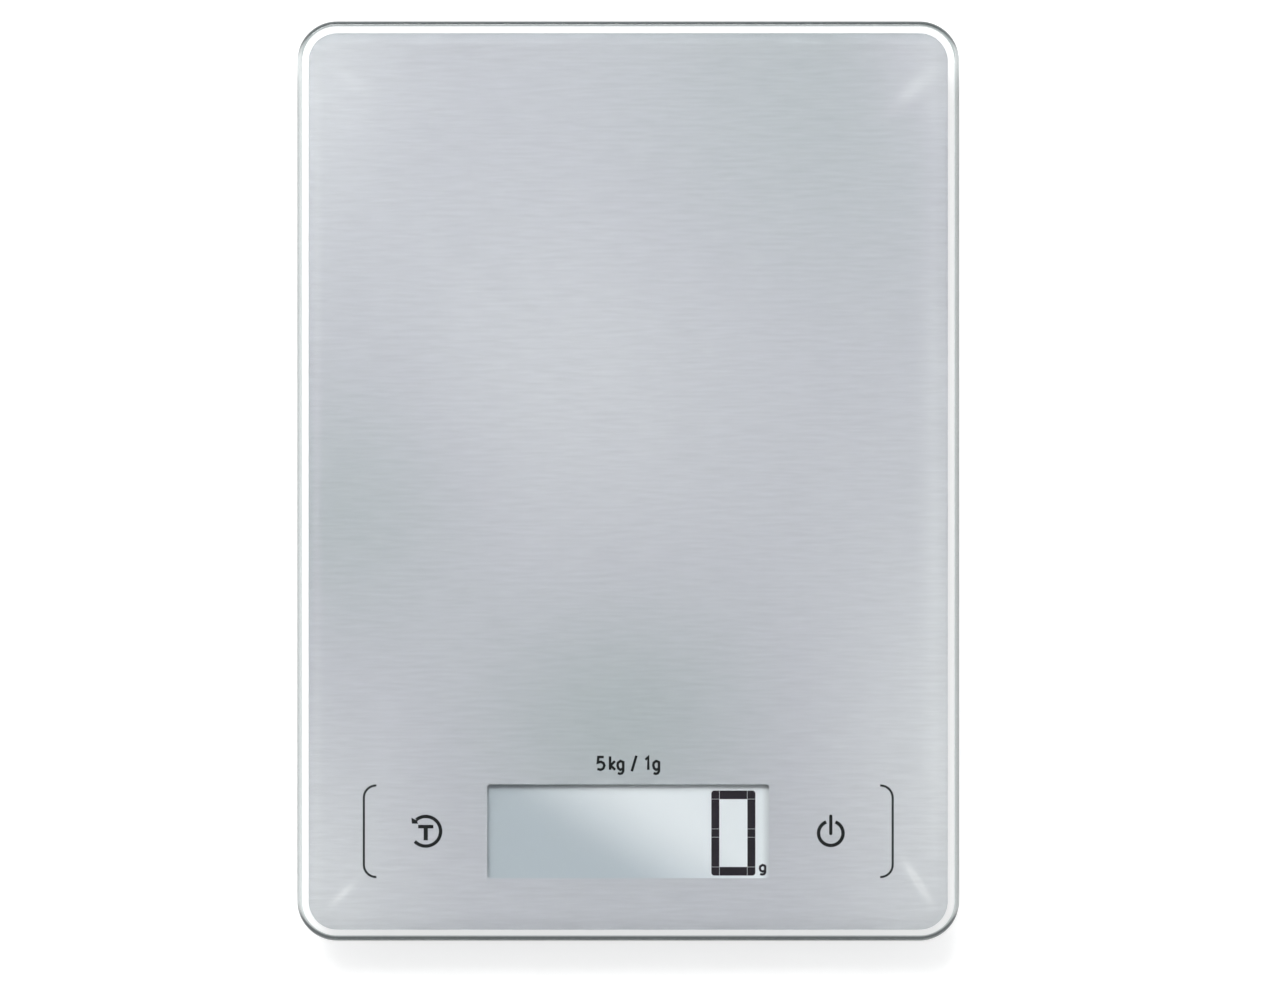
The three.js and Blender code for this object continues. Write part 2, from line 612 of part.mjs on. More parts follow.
function circuitBoard() {
  const { w, d } = { w: 2 * BOARD_HALF, d: BOARD_FRONT + BOARD_BACK };
  const board = solid(roundedBlock([
    { w, d, r: BOARD_CORNER, z: 0 },
    { w, d, r: BOARD_CORNER, z: BOARD_THICKNESS },
  ], 3).translate(0, WINDOW_Y + (BOARD_BACK - BOARD_FRONT) / 2, 0));
  const holes = screwPlaces().map(([x, y]) => drum(SCREW_RADIUS + SIDE_GAP, 4, x, y, -1, 12));
  return surfaceOf(cutAll(board, holes));
}

function boardScrew() {
  return turned([
    [0, -SCREW_LENGTH],
    [SCREW_RADIUS, -SCREW_LENGTH],
    [SCREW_RADIUS, 0],
    [SCREW_HEAD_RADIUS, 0],
    [SCREW_HEAD_RADIUS, SCREW_HEAD_HEIGHT - 0.5],
    [SCREW_HEAD_RADIUS - 0.7, SCREW_HEAD_HEIGHT],
    [0, SCREW_HEAD_HEIGHT],
  ], 12);
}

function displayPanel() {
  const half = LCD_THICKNESS / 2;
  return surfaceOf(joined(
    box(LCD_LENGTH, LCD_DEPTH, half + 0.05, 0, 0, 0),
    box(LCD_LENGTH, LCD_DEPTH - 2 * LCD_STEP, half, 0, 0, half),
  ));
}

function displayFrame() {
  const inner = LCD_OVERLAP + SIDE_GAP;
  const outer = inner + FRAME_WALL;
  const bottom = BOARD_TOP + STACK_GAP;
  const lipUnderside = LCD_TOP + STACK_GAP;
  const top = lipUnderside + FRAME_LIP;
  const body = solid(roundedBlock([windowLevel(outer, bottom, 2), windowLevel(outer, top, 2)], 3));
  return surfaceOf(cutAll(body, [
    roundedBlock([windowLevel(inner, bottom - 1, 0.5), windowLevel(inner, lipUnderside, 0.5)], 1),
    roundedBlock([windowLevel(0.5, bottom - 1, 0.5), windowLevel(0.5, top + 1, 0.5)], 1),
  ]));
}

function addDisplay() {
  const display = groupAt(0, WINDOW_Y, 0);
  addPiece('lcd_panel', displayPanel(), 'display', display).position.z = LCD_Z;
  addPiece('lcd_frame', displayFrame(), 'whitePlastic', display);
  const connectorY = LCD_DEPTH / 2 - CONNECTOR_WIDTH / 2 - SIDE_GAP;
  const reflectorDepth = 2 * (connectorY - CONNECTOR_WIDTH / 2 - SIDE_GAP);
  const reflectorTop = LCD_Z - STACK_GAP;
  addPiece(
    'lcd_reflector',
    box(LCD_LENGTH - 4, reflectorDepth, REFLECTOR_THICKNESS, 0, 0, reflectorTop - REFLECTOR_THICKNESS),
    'whitePlastic',
    display,
  );
  const connectorHeight = LCD_Z - BOARD_TOP - 2 * STACK_GAP;
  for (const [place, side] of [['front', -1], ['rear', 1]]) {
    const strip = box(LCD_LENGTH - 4, CONNECTOR_WIDTH, connectorHeight, 0, side * connectorY, 0);
    const connector = addPiece(`lcd_connector_${place}`, strip, 'connectorRubber', display);
    connector.position.z = BOARD_TOP + STACK_GAP;
  }
  const chip = box(CHIP_SIZE, CHIP_SIZE, CHIP_HEIGHT, WINDOW_WIDTH / 4, 0, BOARD_TOP + STACK_GAP);
  addPiece('controller_chip', chip, 'chip', display);
}

function addKeys() {
  const low = BOARD_TOP + STACK_GAP;
  for (const [name, side] of [['tare', -1], ['power', 1]]) {
    const pad = drum(KEY_PAD_RADIUS, FILM_Z - STACK_GAP - low, side * KEY_X, WINDOW_Y, low, 24);
    addPiece(`${name}_touch_pad`, pad, 'conductiveFoam');
  }
}

function unitButton() {
  const capBottom = TABLE_CLEARANCE + BUTTON_RECESS;
  const flangeBottom = FLOOR_TOP + 0.2;
  const flangeTop = flangeBottom + BUTTON_FLANGE_THICKNESS;
  return turned([
    [0, capBottom],
    [BUTTON_RADIUS - 0.3, capBottom],
    [BUTTON_RADIUS, capBottom + 0.3],
    [BUTTON_RADIUS, flangeBottom],
    [BUTTON_RADIUS + BUTTON_FLANGE, flangeBottom],
    [BUTTON_RADIUS + BUTTON_FLANGE, flangeTop],
    [0, flangeTop],
  ], 24);
}

function addUnitButton() {
  const button = groupAt(0, WINDOW_Y, 0);
  addPiece('unit_button', unitButton(), 'footPlastic', button);
  const flangeTop = FLOOR_TOP + 0.2 + BUTTON_FLANGE_THICKNESS;
  const plunger = drum(PLUNGER_RADIUS, PLUNGER_LENGTH, 0, 0, flangeTop + STACK_GAP, 16);
  addPiece('switch_plunger', plunger, 'whitePlastic', button);
  const switchZ = BOARD_Z - STACK_GAP - SWITCH_HEIGHT;
  const hollow = flangeTop + STACK_GAP + PLUNGER_LENGTH + BUTTON_TRAVEL + SIDE_GAP;
  const body = solid(box(SWITCH_SIZE, SWITCH_SIZE, SWITCH_HEIGHT, 0, 0, switchZ));
  const well = drum(PLUNGER_RADIUS + SIDE_GAP, hollow - switchZ + 1, 0, 0, switchZ - 1, 16);
  addPiece('unit_switch', surfaceOf(cutAll(body, [well])), 'chip', button);
}

function addLead(name, points, radius, finish, steps) {
  const curve = new THREE.CatmullRomCurve3(points.map((point) => new THREE.Vector3(...point)));
  addPiece(name, wire(curve, radius, steps, 6), finish);
}

function addLeads() {
  const overCell = LOAD_CELL_Z + LOAD_CELL_THICKNESS + 0.2 + LEAD_RADIUS;
  const overBoard = BOARD_TOP + 0.2 + LEAD_RADIUS;
  const overRibs = FLOOR_TOP + RIB_HEIGHT + SIDE_GAP + LEAD_RADIUS;
  const landing = SCREW_XS[1] - SCREW_HEAD_RADIUS - 2;
  for (const [place, side] of [['left', -1], ['right', 1]]) {
    const out = FOOT_X + LOAD_CELL_SIZE / 2 - 4.5;
    addLead(`cell_lead_front_${place}`, [
      [side * out, -FOOT_Y + 4, overCell],
      [side * out, BOARD_BACK_Y, overCell],
      [side * (out - 2), BOARD_BACK_Y + 5, overCell + 1.2],
      [side * (landing + 3), BOARD_BACK_Y + 6, overBoard + 0.2],
      [side * landing, BOARD_BACK_Y - 4, overBoard],
    ], LEAD_RADIUS, 'leadGrey', 24);
    addLead(`cell_lead_rear_${place}`, [
      [side * out, FOOT_Y - 6, overCell],
      [side * out, FOOT_Y - 18, overRibs + 0.4],
      [side * (out + 1), FOOT_Y - 45, overRibs],
      [side * (out + 1), 0, overRibs],
      [side * (out - 2), BOARD_BACK_Y + 28, overRibs + 0.4],
      [side * (landing - 1), BOARD_BACK_Y + 11, overBoard + 0.3],
      [side * (landing - 4), BOARD_BACK_Y - 4, overBoard],
    ], LEAD_RADIUS, 'leadGrey', 36);
  }
  const overTab = TAB_SLOT_Z + CONTACT_THICKNESS + STACK_GAP + BATTERY_LEAD_RADIUS;
  const tabX = BAY_LENGTH / 2 + BAY_WALL + 2;
  const high = BOARD_TOP + 0.2 + BATTERY_LEAD_RADIUS;
  for (const [name, side, finish] of [['negative', -1, 'leadBlack'], ['positive', 1, 'leadRed']]) {
    const tabY = BAY_Y + side * CELL_PITCH;
    addLead(`battery_lead_${name}`, [
      [side * tabX, tabY, overTab + 0.1],
      [side * (tabX + 2.5), tabY - 2, overTab + 0.1],
      [side * (tabX + 4), tabY - 20, overRibs + 1],
      [side * (tabX + 3), BAY_Y - 60, overRibs + 1],
      [side * (tabX - 4), BOARD_BACK_Y + 8, high],
      [side * (tabX - 5), BOARD_BACK_Y - 3, high],
    ], BATTERY_LEAD_RADIUS, finish, 26);
  }
}

function addScrews() {
  screwPlaces().forEach(([x, y], index) => {
    addPiece(`board_screw_${index + 1}`, boardScrew(), 'spring').position.set(x, y, BOARD_TOP + STACK_GAP);
  });
}

addPiece('glass_platform', glassPlatform(), 'glass').position.z = GLASS_Z;
addPiece('printed_film', printedFilm(), 'brushedFilm').position.z = FILM_Z;
addPiece('bonding_tape', bondingTape(), 'foamTape').position.z = RIM_Z;
addPiece('bottom_tray', bottomTray(), 'trayPlastic');
addBatteryBay();
addFoot('front_left', -1, -1);
addFoot('front_right', 1, -1);
addFoot('rear_left', -1, 1);
addFoot('rear_right', 1, 1);
addPiece('circuit_board', circuitBoard(), 'board').position.z = BOARD_Z;
addDisplay();
addKeys();
addUnitButton();
addScrews();
addLeads();

export default scale;
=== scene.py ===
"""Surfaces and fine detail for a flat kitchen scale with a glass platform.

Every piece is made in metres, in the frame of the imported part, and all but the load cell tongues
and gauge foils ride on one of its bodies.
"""

import math

import bmesh
import bpy
from bpy.props import FloatProperty, FloatVectorProperty, PointerProperty
from bpy.types import Operator, Panel, PropertyGroup
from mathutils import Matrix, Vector


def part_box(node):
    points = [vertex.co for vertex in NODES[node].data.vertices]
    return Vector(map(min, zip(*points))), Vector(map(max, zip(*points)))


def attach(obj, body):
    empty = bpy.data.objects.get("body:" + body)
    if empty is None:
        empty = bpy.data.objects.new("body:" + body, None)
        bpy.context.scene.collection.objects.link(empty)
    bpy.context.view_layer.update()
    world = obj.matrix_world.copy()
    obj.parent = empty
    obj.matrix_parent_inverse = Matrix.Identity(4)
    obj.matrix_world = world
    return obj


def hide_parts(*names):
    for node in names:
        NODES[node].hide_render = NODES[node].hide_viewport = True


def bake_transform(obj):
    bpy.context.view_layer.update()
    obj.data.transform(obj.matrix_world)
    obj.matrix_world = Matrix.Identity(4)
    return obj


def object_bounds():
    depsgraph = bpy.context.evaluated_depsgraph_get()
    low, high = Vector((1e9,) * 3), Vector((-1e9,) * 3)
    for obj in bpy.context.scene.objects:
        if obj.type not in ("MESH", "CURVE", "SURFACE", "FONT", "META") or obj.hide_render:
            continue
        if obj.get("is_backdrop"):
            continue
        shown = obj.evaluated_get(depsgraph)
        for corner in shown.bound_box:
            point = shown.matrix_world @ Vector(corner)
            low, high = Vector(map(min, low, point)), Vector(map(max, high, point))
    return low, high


bl_info = {
    "name": "Glass Kitchen Scale",
    "version": (1, 0, 0),
    "blender": (4, 5, 0),
    "location": "3D View > Sidebar > Kitchen Scale",
    "description": "Dresses the frame of a glass kitchen scale with its finishes and small parts",
    "category": "Object",
}

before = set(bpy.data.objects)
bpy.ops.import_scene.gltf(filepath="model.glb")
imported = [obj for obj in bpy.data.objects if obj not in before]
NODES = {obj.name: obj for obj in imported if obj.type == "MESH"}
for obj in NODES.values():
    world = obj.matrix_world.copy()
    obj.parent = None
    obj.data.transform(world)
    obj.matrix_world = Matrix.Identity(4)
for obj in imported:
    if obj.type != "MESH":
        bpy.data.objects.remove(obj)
CAD_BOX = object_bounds()

MM = 0.001
PLACES = ("front_left", "front_right", "rear_left", "rear_right")

# ---- Sizes that follow the frame ----
PLATE_LOW, PLATE_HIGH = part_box("glass_platform")
FILM_LOW, FILM_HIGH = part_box("printed_film")
LCD_LOW, LCD_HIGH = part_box("lcd_panel")
TARE_LOW, TARE_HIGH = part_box("tare_touch_pad")
POWER_LOW, POWER_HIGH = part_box("power_touch_pad")
LCD_OVERLAP = 2.4 * MM  # display glass hidden behind the film on every side of the window
PLATE_CORNER = 12 * MM
CLEAR_RIM = FILM_LOW.x - PLATE_LOW.x
WINDOW_CORNER = 1 * MM
WINDOW_HALF_X = (LCD_HIGH.x - LCD_LOW.x) / 2 - LCD_OVERLAP
WINDOW_HALF_Y = (LCD_HIGH.y - LCD_LOW.y) / 2 - LCD_OVERLAP
WINDOW_Y = (LCD_LOW.y + LCD_HIGH.y) / 2

# ---- Levels of the printed side of the glass ----
FILM_TOP = FILM_HIGH.z - 0.06 * MM
INK_LOW = FILM_TOP + 0.005 * MM
INK_HIGH = INK_LOW + 0.03 * MM
GLASS_BOTTOM = FILM_HIGH.z - 0.01 * MM
SEGMENT_LOW = LCD_HIGH.z + 0.005 * MM
SEGMENT_HIGH = SEGMENT_LOW + 0.03 * MM


# ---- Settings a user may change ----
COLOUR_LIMITS = {"min": 0, "max": 1, "subtype": "COLOR"}


class PlatformLook(PropertyGroup):
    edge_radius: FloatProperty(
        name="Edge rounding",
        description="Radius of the polished edge of the glass",
        default=1.45 * MM,
        min=0.2 * MM,
        max=2.4 * MM,
        unit="LENGTH",
    )
    glass_tint: FloatVectorProperty(
        name="Glass tint",
        description="Colour that light takes on through the glass",
        default=(0.99, 0.996, 0.994),
        **COLOUR_LIMITS,
    )
    edge_tint: FloatVectorProperty(
        name="Ground edge tint",
        description="Colour of the ground edge of the glass",
        default=(0.55, 0.60, 0.60),
        **COLOUR_LIMITS,
    )
    # Painted shade: the ground edge is coloured darker along the front and the back, in place of
    # the dark surroundings that it would show
    painted_edge_shade: FloatVectorProperty(
        name="Ground edge shade",
        description="Colour of the ground edge along the front and the back",
        default=(0.026, 0.032, 0.033),
        **COLOUR_LIMITS,
    )
    border_width: FloatProperty(
        name="Border slope",
        description="Width of the shallow slope round the brushed film",
        default=3.2 * MM,
        min=0.5 * MM,
        max=10 * MM,
        unit="LENGTH",
    )
    film_roughness: FloatProperty(
        name="Film roughness",
        description="Spread of reflections in the brushed film",
        default=0.48,
        min=0,
        max=1,
        subtype="FACTOR",
    )


class PrintLook(PropertyGroup):
    ink: FloatVectorProperty(
        name="Ink",
        description="Colour of the printed key marks",
        default=(0.012, 0.013, 0.014),
        **COLOUR_LIMITS,
    )
    bracket_ink: FloatVectorProperty(
        name="Bracket ink",
        description="Colour of the thin brackets outside the keys",
        default=(0.028, 0.032, 0.034),
        **COLOUR_LIMITS,
    )
    bracket_x: FloatProperty(
        name="Bracket distance",
        description="Middle of the window to the upright of a bracket",
        default=79.9 * MM,
        unit="LENGTH",
    )
    bracket_half_height: FloatProperty(
        name="Bracket half height",
        description="Half the height of a bracket",
        default=13.9 * MM,
        unit="LENGTH",
    )


class DisplayLook(PropertyGroup):
    dark_side: FloatVectorProperty(
        name="Shaded side",
        description="Colour of the display face on its shaded side",
        default=(0.44, 0.498, 0.538),
        **COLOUR_LIMITS,
    )
    # Painted reflection: the light side of the display face stands in for a lamp's reflection in
    # its polariser
    painted_reflection_side: FloatVectorProperty(
        name="Painted reflection side",
        description="Colour of the display face on its light side",
        default=(0.775, 0.82, 0.85),
        **COLOUR_LIMITS,
    )
    # Painted glow: the display face gives off a faint light in its own colour, which lifts it
    # though it is no lamp
    painted_glow: FloatProperty(
        name="Painted glow",
        description="Light that the display gives off",
        default=0.02,
        min=0,
    )
    segment: FloatVectorProperty(
        name="Segment",
        description="Colour of a switched-on segment",
        default=(0.022, 0.019, 0.025),
        **COLOUR_LIMITS,
    )


class BodyLook(PropertyGroup):
    tray: FloatVectorProperty(
        name="Tray",
        description="Colour of the moulded tray and battery cover",
        default=(0.155, 0.170, 0.178),
        **COLOUR_LIMITS,
    )
    foot: FloatVectorProperty(
        name="Foot",
        description="Colour of the foot cups",
        default=(0.090, 0.100, 0.106),
        **COLOUR_LIMITS,
    )
    rubber: FloatVectorProperty(
        name="Rubber",
        description="Colour of the soft foot pads",
        default=(0.026, 0.028, 0.030),
        **COLOUR_LIMITS,
    )
    soft_edge: FloatProperty(
        name="Moulded edge",
        description="Rounding of the moulded plastic edges",
        default=0.2 * MM,
        min=0.02 * MM,
        max=0.5 * MM,
        unit="LENGTH",
    )


class StageLook(PropertyGroup):
    floor: FloatVectorProperty(
        name="Floor",
        description="Colour of the plain floor",
        default=(0.9, 0.9, 0.9),
        **COLOUR_LIMITS,
    )
    lamp_power: FloatProperty(
        name="Lamp power",
        description="Power of the large soft lamp",
        default=35.5,
        min=0,
        unit="POWER",
    )
    sky_strength: FloatProperty(
        name="Room light",
        description="Strength of the light from the room",
        default=0.33,
        min=0,
    )
    floor_glow: FloatProperty(
        name="Floor glow",
        description="Light that the lit table gives off by itself",
        default=0.62,
        min=0,
    )


SETTINGS = {
    "scale_platform": PlatformLook,
    "scale_print": PrintLook,
    "scale_display": DisplayLook,
    "scale_body": BodyLook,
    "scale_stage": StageLook,
}


# ---- Mesh helpers ----
def linked(name, data):
    """A new object in the scene."""
    result = bpy.data.objects.new(name, data)
    bpy.context.scene.collection.objects.link(result)
    return result


def made(name, bm, materials, body, slot, smooth_angle=None):
    """Turns a bmesh into a piece that rides on a body, or on none if body is None."""
    bmesh.ops.recalc_face_normals(bm, faces=bm.faces)
    mesh = bpy.data.meshes.new(name)
    bm.to_mesh(mesh)
    bm.free()
    for material in materials:
        mesh.materials.append(material)
    piece = linked(name, mesh)
    if smooth_angle is not None:
        mesh.shade_smooth()
        mesh.set_sharp_from_angle(angle=math.radians(smooth_angle))
        flat_faces_lead(piece)
    if body:
        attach(piece, body)
    return piece


def flat_faces_lead(piece):
    """Keeps the shading of large flat faces flat up to their rounded edges."""
    normals = piece.modifiers.new("Flat faces lead", "WEIGHTED_NORMAL")
    normals.mode = "FACE_AREA"
    normals.weight = 50
    normals.keep_sharp = True


def rounded_rectangle(half_x, half_y, corner, steps, middle=(0, 0)):
    """Points round a rectangle with round corners, anticlockwise from above."""
    points = []
    for quarter, (sx, sy) in enumerate(((1, 1), (-1, 1), (-1, -1), (1, -1))):
        for step in range(steps + 1):
            angle = (quarter + step / steps) * math.pi / 2
            x = sx * (half_x - corner) + corner * math.cos(angle)
            y = sy * (half_y - corner) + corner * math.sin(angle)
            points.append((middle[0] + x, middle[1] + y))
    return points


def lofted(bm, rings, closed_loop=False, material_of=None):
    """Joins rings of as many points each into one skin."""
    verts = [[bm.verts.new(point) for point in ring] for ring in rings]
    pairs = list(zip(verts, verts[1:]))
    if closed_loop:
        pairs.append((verts[-1], verts[0]))
    for index, (lower, upper) in enumerate(pairs):
        count = len(lower)
        for i in range(count):
            after = (i + 1) % count
            face = bm.faces.new((lower[i], lower[after], upper[after], upper[i]))
            if material_of:
                face.material_index = material_of(index)
    if not closed_loop:
        bm.faces.new(list(reversed(verts[0])))
        bm.faces.new(verts[-1])


def at_level(points, z):
    return [(x, y, z) for x, y in points]


def prism(bm, outline, low, high):
    """A flat solid with one outline."""
    lofted(bm, [at_level(outline, low), at_level(outline, high)])


SHARPEST_MITRE = 0.5  # a bend is widened by no more than 1 / this


def stroke(bm, points, width, low, high):
    """A flat solid line of one width through the points, with mitred bends."""
    path = [Vector(p) for p in points]
    left, right = [], []
    for i, point in enumerate(path):
        heading_in = (point - path[i - 1]).normalized() if i > 0 else None
        heading_out = (path[i + 1] - point).normalized() if i < len(path) - 1 else None
        heading_in = heading_in or heading_out
        heading_out = heading_out or heading_in
        across = Vector((-heading_in.y - heading_out.y, heading_in.x + heading_out.x)).normalized()
        stretch = 1 / max(SHARPEST_MITRE, across.dot(Vector((-heading_in.y, heading_in.x))))
        left.append(tuple(point + across * width / 2 * stretch))
        right.append(tuple(point - across * width / 2 * stretch))
    prism(bm, left + right[::-1], low, high)


def written(bm, glyph, origin, size, width, low, high):
    """One figure or letter of STROKES, with size as its (width, height)."""
    for line in STROKES[glyph]:
        points = [(origin[0] + x * size[0], origin[1] + y * size[1]) for x, y in line]
        stroke(bm, points, width, low, high)


def arc(middle, radius, start, end, steps):
    """Points on an arc, angles in degrees."""
    angles = [math.radians(start + (end - start) * i / steps) for i in range(steps + 1)]
    return [(middle[0] + radius * math.cos(a), middle[1] + radius * math.sin(a)) for a in angles]


ROUND_STEPS = 10


def round_ended(bm, start, end, width, low, high):
    """A straight flat line with round ends."""
    heading = math.degrees(math.atan2(end[1] - start[1], end[0] - start[0]))
    outline = arc(end, width / 2, heading - 90, heading + 90, ROUND_STEPS)
    outline += arc(start, width / 2, heading + 90, heading + 270, ROUND_STEPS)
    prism(bm, outline, low, high)


def turned(profile, steps, place):
    """Rings round an axis. profile holds (distance along, radius); place maps to the frame."""
    rings = []
    for along, radius in profile:
        ring = []
        for i in range(steps):
            angle = 2 * math.pi * i / steps
            ring.append(place(along, radius * math.cos(angle), radius * math.sin(angle)))
        rings.append(ring)
    return rings


# ---- Shader helpers ----
class Wiring:
    """Adds nodes to one node tree and joins them."""

    def __init__(self, tree):
        self.tree = tree

    def add(self, kind, values=None, **settings):
        node = self.tree.nodes.new(kind)
        for name, value in settings.items():
            setattr(node, name, value)
        for key, value in (values or {}).items():
            self.join(value, node.inputs[key])
        return node

    def join(self, value, socket):
        if isinstance(value, bpy.types.NodeSocket):
            self.tree.links.new(value, socket)
        else:
            socket.default_value = value

    def maths(self, operation, a, b=0.0, clamp=False):
        node = self.add("ShaderNodeMath", {0: a, 1: b}, operation=operation, use_clamp=clamp)
        return node.outputs[0]

    def vector(self, operation, a, b):
        return self.add("ShaderNodeVectorMath", {0: a, 1: b}, operation=operation).outputs[0]

    def dot(self, a, b):
        node = self.add("ShaderNodeVectorMath", {0: a, 1: b}, operation="DOT_PRODUCT")
        return node.outputs["Value"]

    def share_of(self, value, amount):
        """How far a noise is from its middle, times amount."""
        return self.maths("MULTIPLY", self.maths("SUBTRACT", value, 0.5), amount)

    def bell(self, square):
        """1 in the middle of a patch, falling to 0 round it."""
        return self.maths("EXPONENT", self.maths("MULTIPLY", square, -1.0))

    def parts(self, vector):
        return self.add("ShaderNodeSeparateXYZ", {0: vector}).outputs

    def grey(self, value):
        return self.add("ShaderNodeCombineColor", {0: value, 1: value, 2: value}).outputs[0]

    def noise(self, place, scale, detail, roughness):
        values = {"Vector": place, "Scale": scale, "Detail": detail, "Roughness": roughness}
        return self.add("ShaderNodeTexNoise", values).outputs["Fac"]

    def place(self):
        return self.add("ShaderNodeTexCoord").outputs["Object"]

    def stops(self, factor, colours):
        """A colour ramp with (position, colour) stops."""
        ramp = self.add("ShaderNodeValToRGB", {"Fac": factor})
        elements = ramp.color_ramp.elements
        elements[0].position, elements[0].color = colours[0][0], (*colours[0][1], 1)
        elements[1].position, elements[1].color = colours[-1][0], (*colours[-1][1], 1)
        for position, colour in colours[1:-1]:
            element = elements.new(position)
            element.color = (*colour, 1)
        return ramp.outputs["Color"]

    def range(self, value, low, high, to_low, to_high):
        values = {"Value": value, "From Min": low, "From Max": high}
        values |= {"To Min": to_low, "To Max": to_high}
        return self.add("ShaderNodeMapRange", values).outputs["Result"]

    def tinted(self, colour, factor, kind="MULTIPLY", amount=1.0):
        mix = self.add("ShaderNodeMix", data_type="RGBA", blend_type=kind)
        self.join(amount, mix.inputs["Factor"])
        self.join(colour, mix.inputs[6])
        self.join(factor, mix.inputs[7])
        return mix.outputs[2]


def effect(name, inputs, outputs, build):
    """A shader node group made once. Inputs are (name, kind, default), outputs (name, kind)."""
    group = bpy.data.node_groups.get(name)
    if group:
        return group
    group = bpy.data.node_groups.new(name, "ShaderNodeTree")
    for label, kind, default in inputs:
        socket = group.interface.new_socket(label, in_out="INPUT", socket_type=kind)
        socket.default_value = default
    for label, kind in outputs:
        group.interface.new_socket(label, in_out="OUTPUT", socket_type=kind)
    wires = Wiring(group)
    source = wires.add("NodeGroupInput").outputs
    sink = wires.add("NodeGroupOutput").inputs
    for label, value in build(wires, source).items():
        wires.join(value, sink[label])
    return group


VALUE, COLOUR, POINT = "NodeSocketFloat", "NodeSocketColor", "NodeSocketVector"


def moulded_texture():
    """Fine spark-eroded texture of moulded plastic, with a slow change of tone."""

    def build(wires, source):
        place = wires.place()
        fine = wires.noise(place, source["Grain Scale"], 3.0, 0.6)
        broad = wires.noise(place, source["Tone Scale"], 2.0, 0.5)
        spread = source["Tone Spread"]
        light = wires.share_of(broad, spread)
        speck = wires.share_of(fine, wires.maths("MULTIPLY", spread, 0.6))
        tone = wires.maths("ADD", 1.0, wires.maths("ADD", light, speck))
        shine = wires.share_of(fine, source["Roughness Spread"])
        return {
            "Colour": wires.tinted(source["Colour"], wires.grey(tone)),
            "Roughness": wires.maths("ADD", source["Roughness"], shine, clamp=True),
            "Height": fine,
        }

    return effect(
        "Moulded Texture",
        (
            ("Colour", COLOUR, (0.5, 0.5, 0.5, 1)),
            ("Tone Spread", VALUE, 0.12),
            ("Roughness", VALUE, 0.5),
            ("Roughness Spread", VALUE, 0.15),
            ("Grain Scale", VALUE, 2500.0),
            ("Tone Scale", VALUE, 60.0),
        ),
        (("Colour", COLOUR), ("Roughness", VALUE), ("Height", VALUE)),
        build,
    )


def brushed_lines():
    """Fine straight brushing along X, as on rolled or brushed metal."""

    def build(wires, source):
        place = wires.vector("MULTIPLY", wires.place(), source["Line Scale"])
        lines = wires.noise(place, 1.0, 4.0, 0.65)
        tone = wires.maths("ADD", 1.0, wires.share_of(lines, source["Tone Spread"]))
        shine = wires.share_of(lines, source["Roughness Spread"])
        return {
            "Colour": wires.tinted(source["Colour"], wires.grey(tone)),
            "Roughness": wires.maths("ADD", source["Roughness"], shine, clamp=True),
            "Height": lines,
        }

    return effect(
        "Brushed Lines",
        (
            ("Colour", COLOUR, (0.6, 0.6, 0.6, 1)),
            ("Tone Spread", VALUE, 0.1),
            ("Roughness", VALUE, 0.4),
            ("Roughness Spread", VALUE, 0.2),
            ("Line Scale", POINT, (120.0, 2600.0, 2600.0)),
        ),
        (("Colour", COLOUR), ("Roughness", VALUE), ("Height", VALUE)),
        build,
    )


def painted_light_patch():
    """A soft oval patch lighter than what is round it, painted light, when its strength is above 0,
    and darker, painted shade, when it is below.
    """

    def build(wires, source):
        away = wires.vector("SUBTRACT", wires.place(), source["Middle"])
        shares = wires.vector("DIVIDE", away, source["Reach"])
        change = wires.maths("MULTIPLY", wires.bell(wires.dot(shares, shares)), source["Strength"])
        return {"Tone": wires.maths("ADD", source["Tone"], change)}

    return effect(
        "Painted Light Patch",
        (
            ("Tone", VALUE, 0.0),
            ("Middle", POINT, (0.0, 0.0, 0.0)),
            ("Reach", POINT, (0.05, 0.05, 1.0)),
            ("Strength", VALUE, 0.1),
        ),
        (("Tone", VALUE),),
        build,
    )


def painted_glint_streak():
    """A soft straight streak of painted highlight through a point, a painted glint like one where
    two brushed slopes meet.
    """

    def build(wires, source):
        away = wires.vector("SUBTRACT", wires.place(), source["Middle"])
        side = wires.vector("CROSS_PRODUCT", source["Heading"], (0.0, 0.0, 1.0))
        reaches = ((source["Heading"], source["Half Length"]), (side, source["Half Width"]))
        squares = []
        for direction, half in reaches:
            share = wires.maths("DIVIDE", wires.dot(away, direction), half)
            squares.append(wires.maths("MULTIPLY", share, share))
        fall = wires.bell(wires.maths("ADD", *squares))
        change = wires.maths("MULTIPLY", fall, source["Strength"])
        return {"Tone": wires.maths("ADD", source["Tone"], change)}

    return effect(
        "Painted Glint Streak",
        (
            ("Tone", VALUE, 0.0),
            ("Middle", POINT, (0.0, 0.0, 0.0)),
            ("Heading", POINT, (0.7071, 0.7071, 0.0)),
            ("Half Length", VALUE, 0.008),
            ("Half Width", VALUE, 0.002),
            ("Strength", VALUE, 0.1),
        ),
        (("Tone", VALUE),),
        build,
    )


def placed(wires, group, values):
    """One use of an effect, with its own values."""
    node = wires.add("ShaderNodeGroup", node_tree=group)
    for key, value in values.items():
        wires.join(value, node.inputs[key])
    return node.outputs


def material(name):
    """A new material with its wiring and its Principled shader."""
    result = bpy.data.materials.new(name)
    result.use_nodes = True
    return result, Wiring(result.node_tree), result.node_tree.nodes["Principled BSDF"]


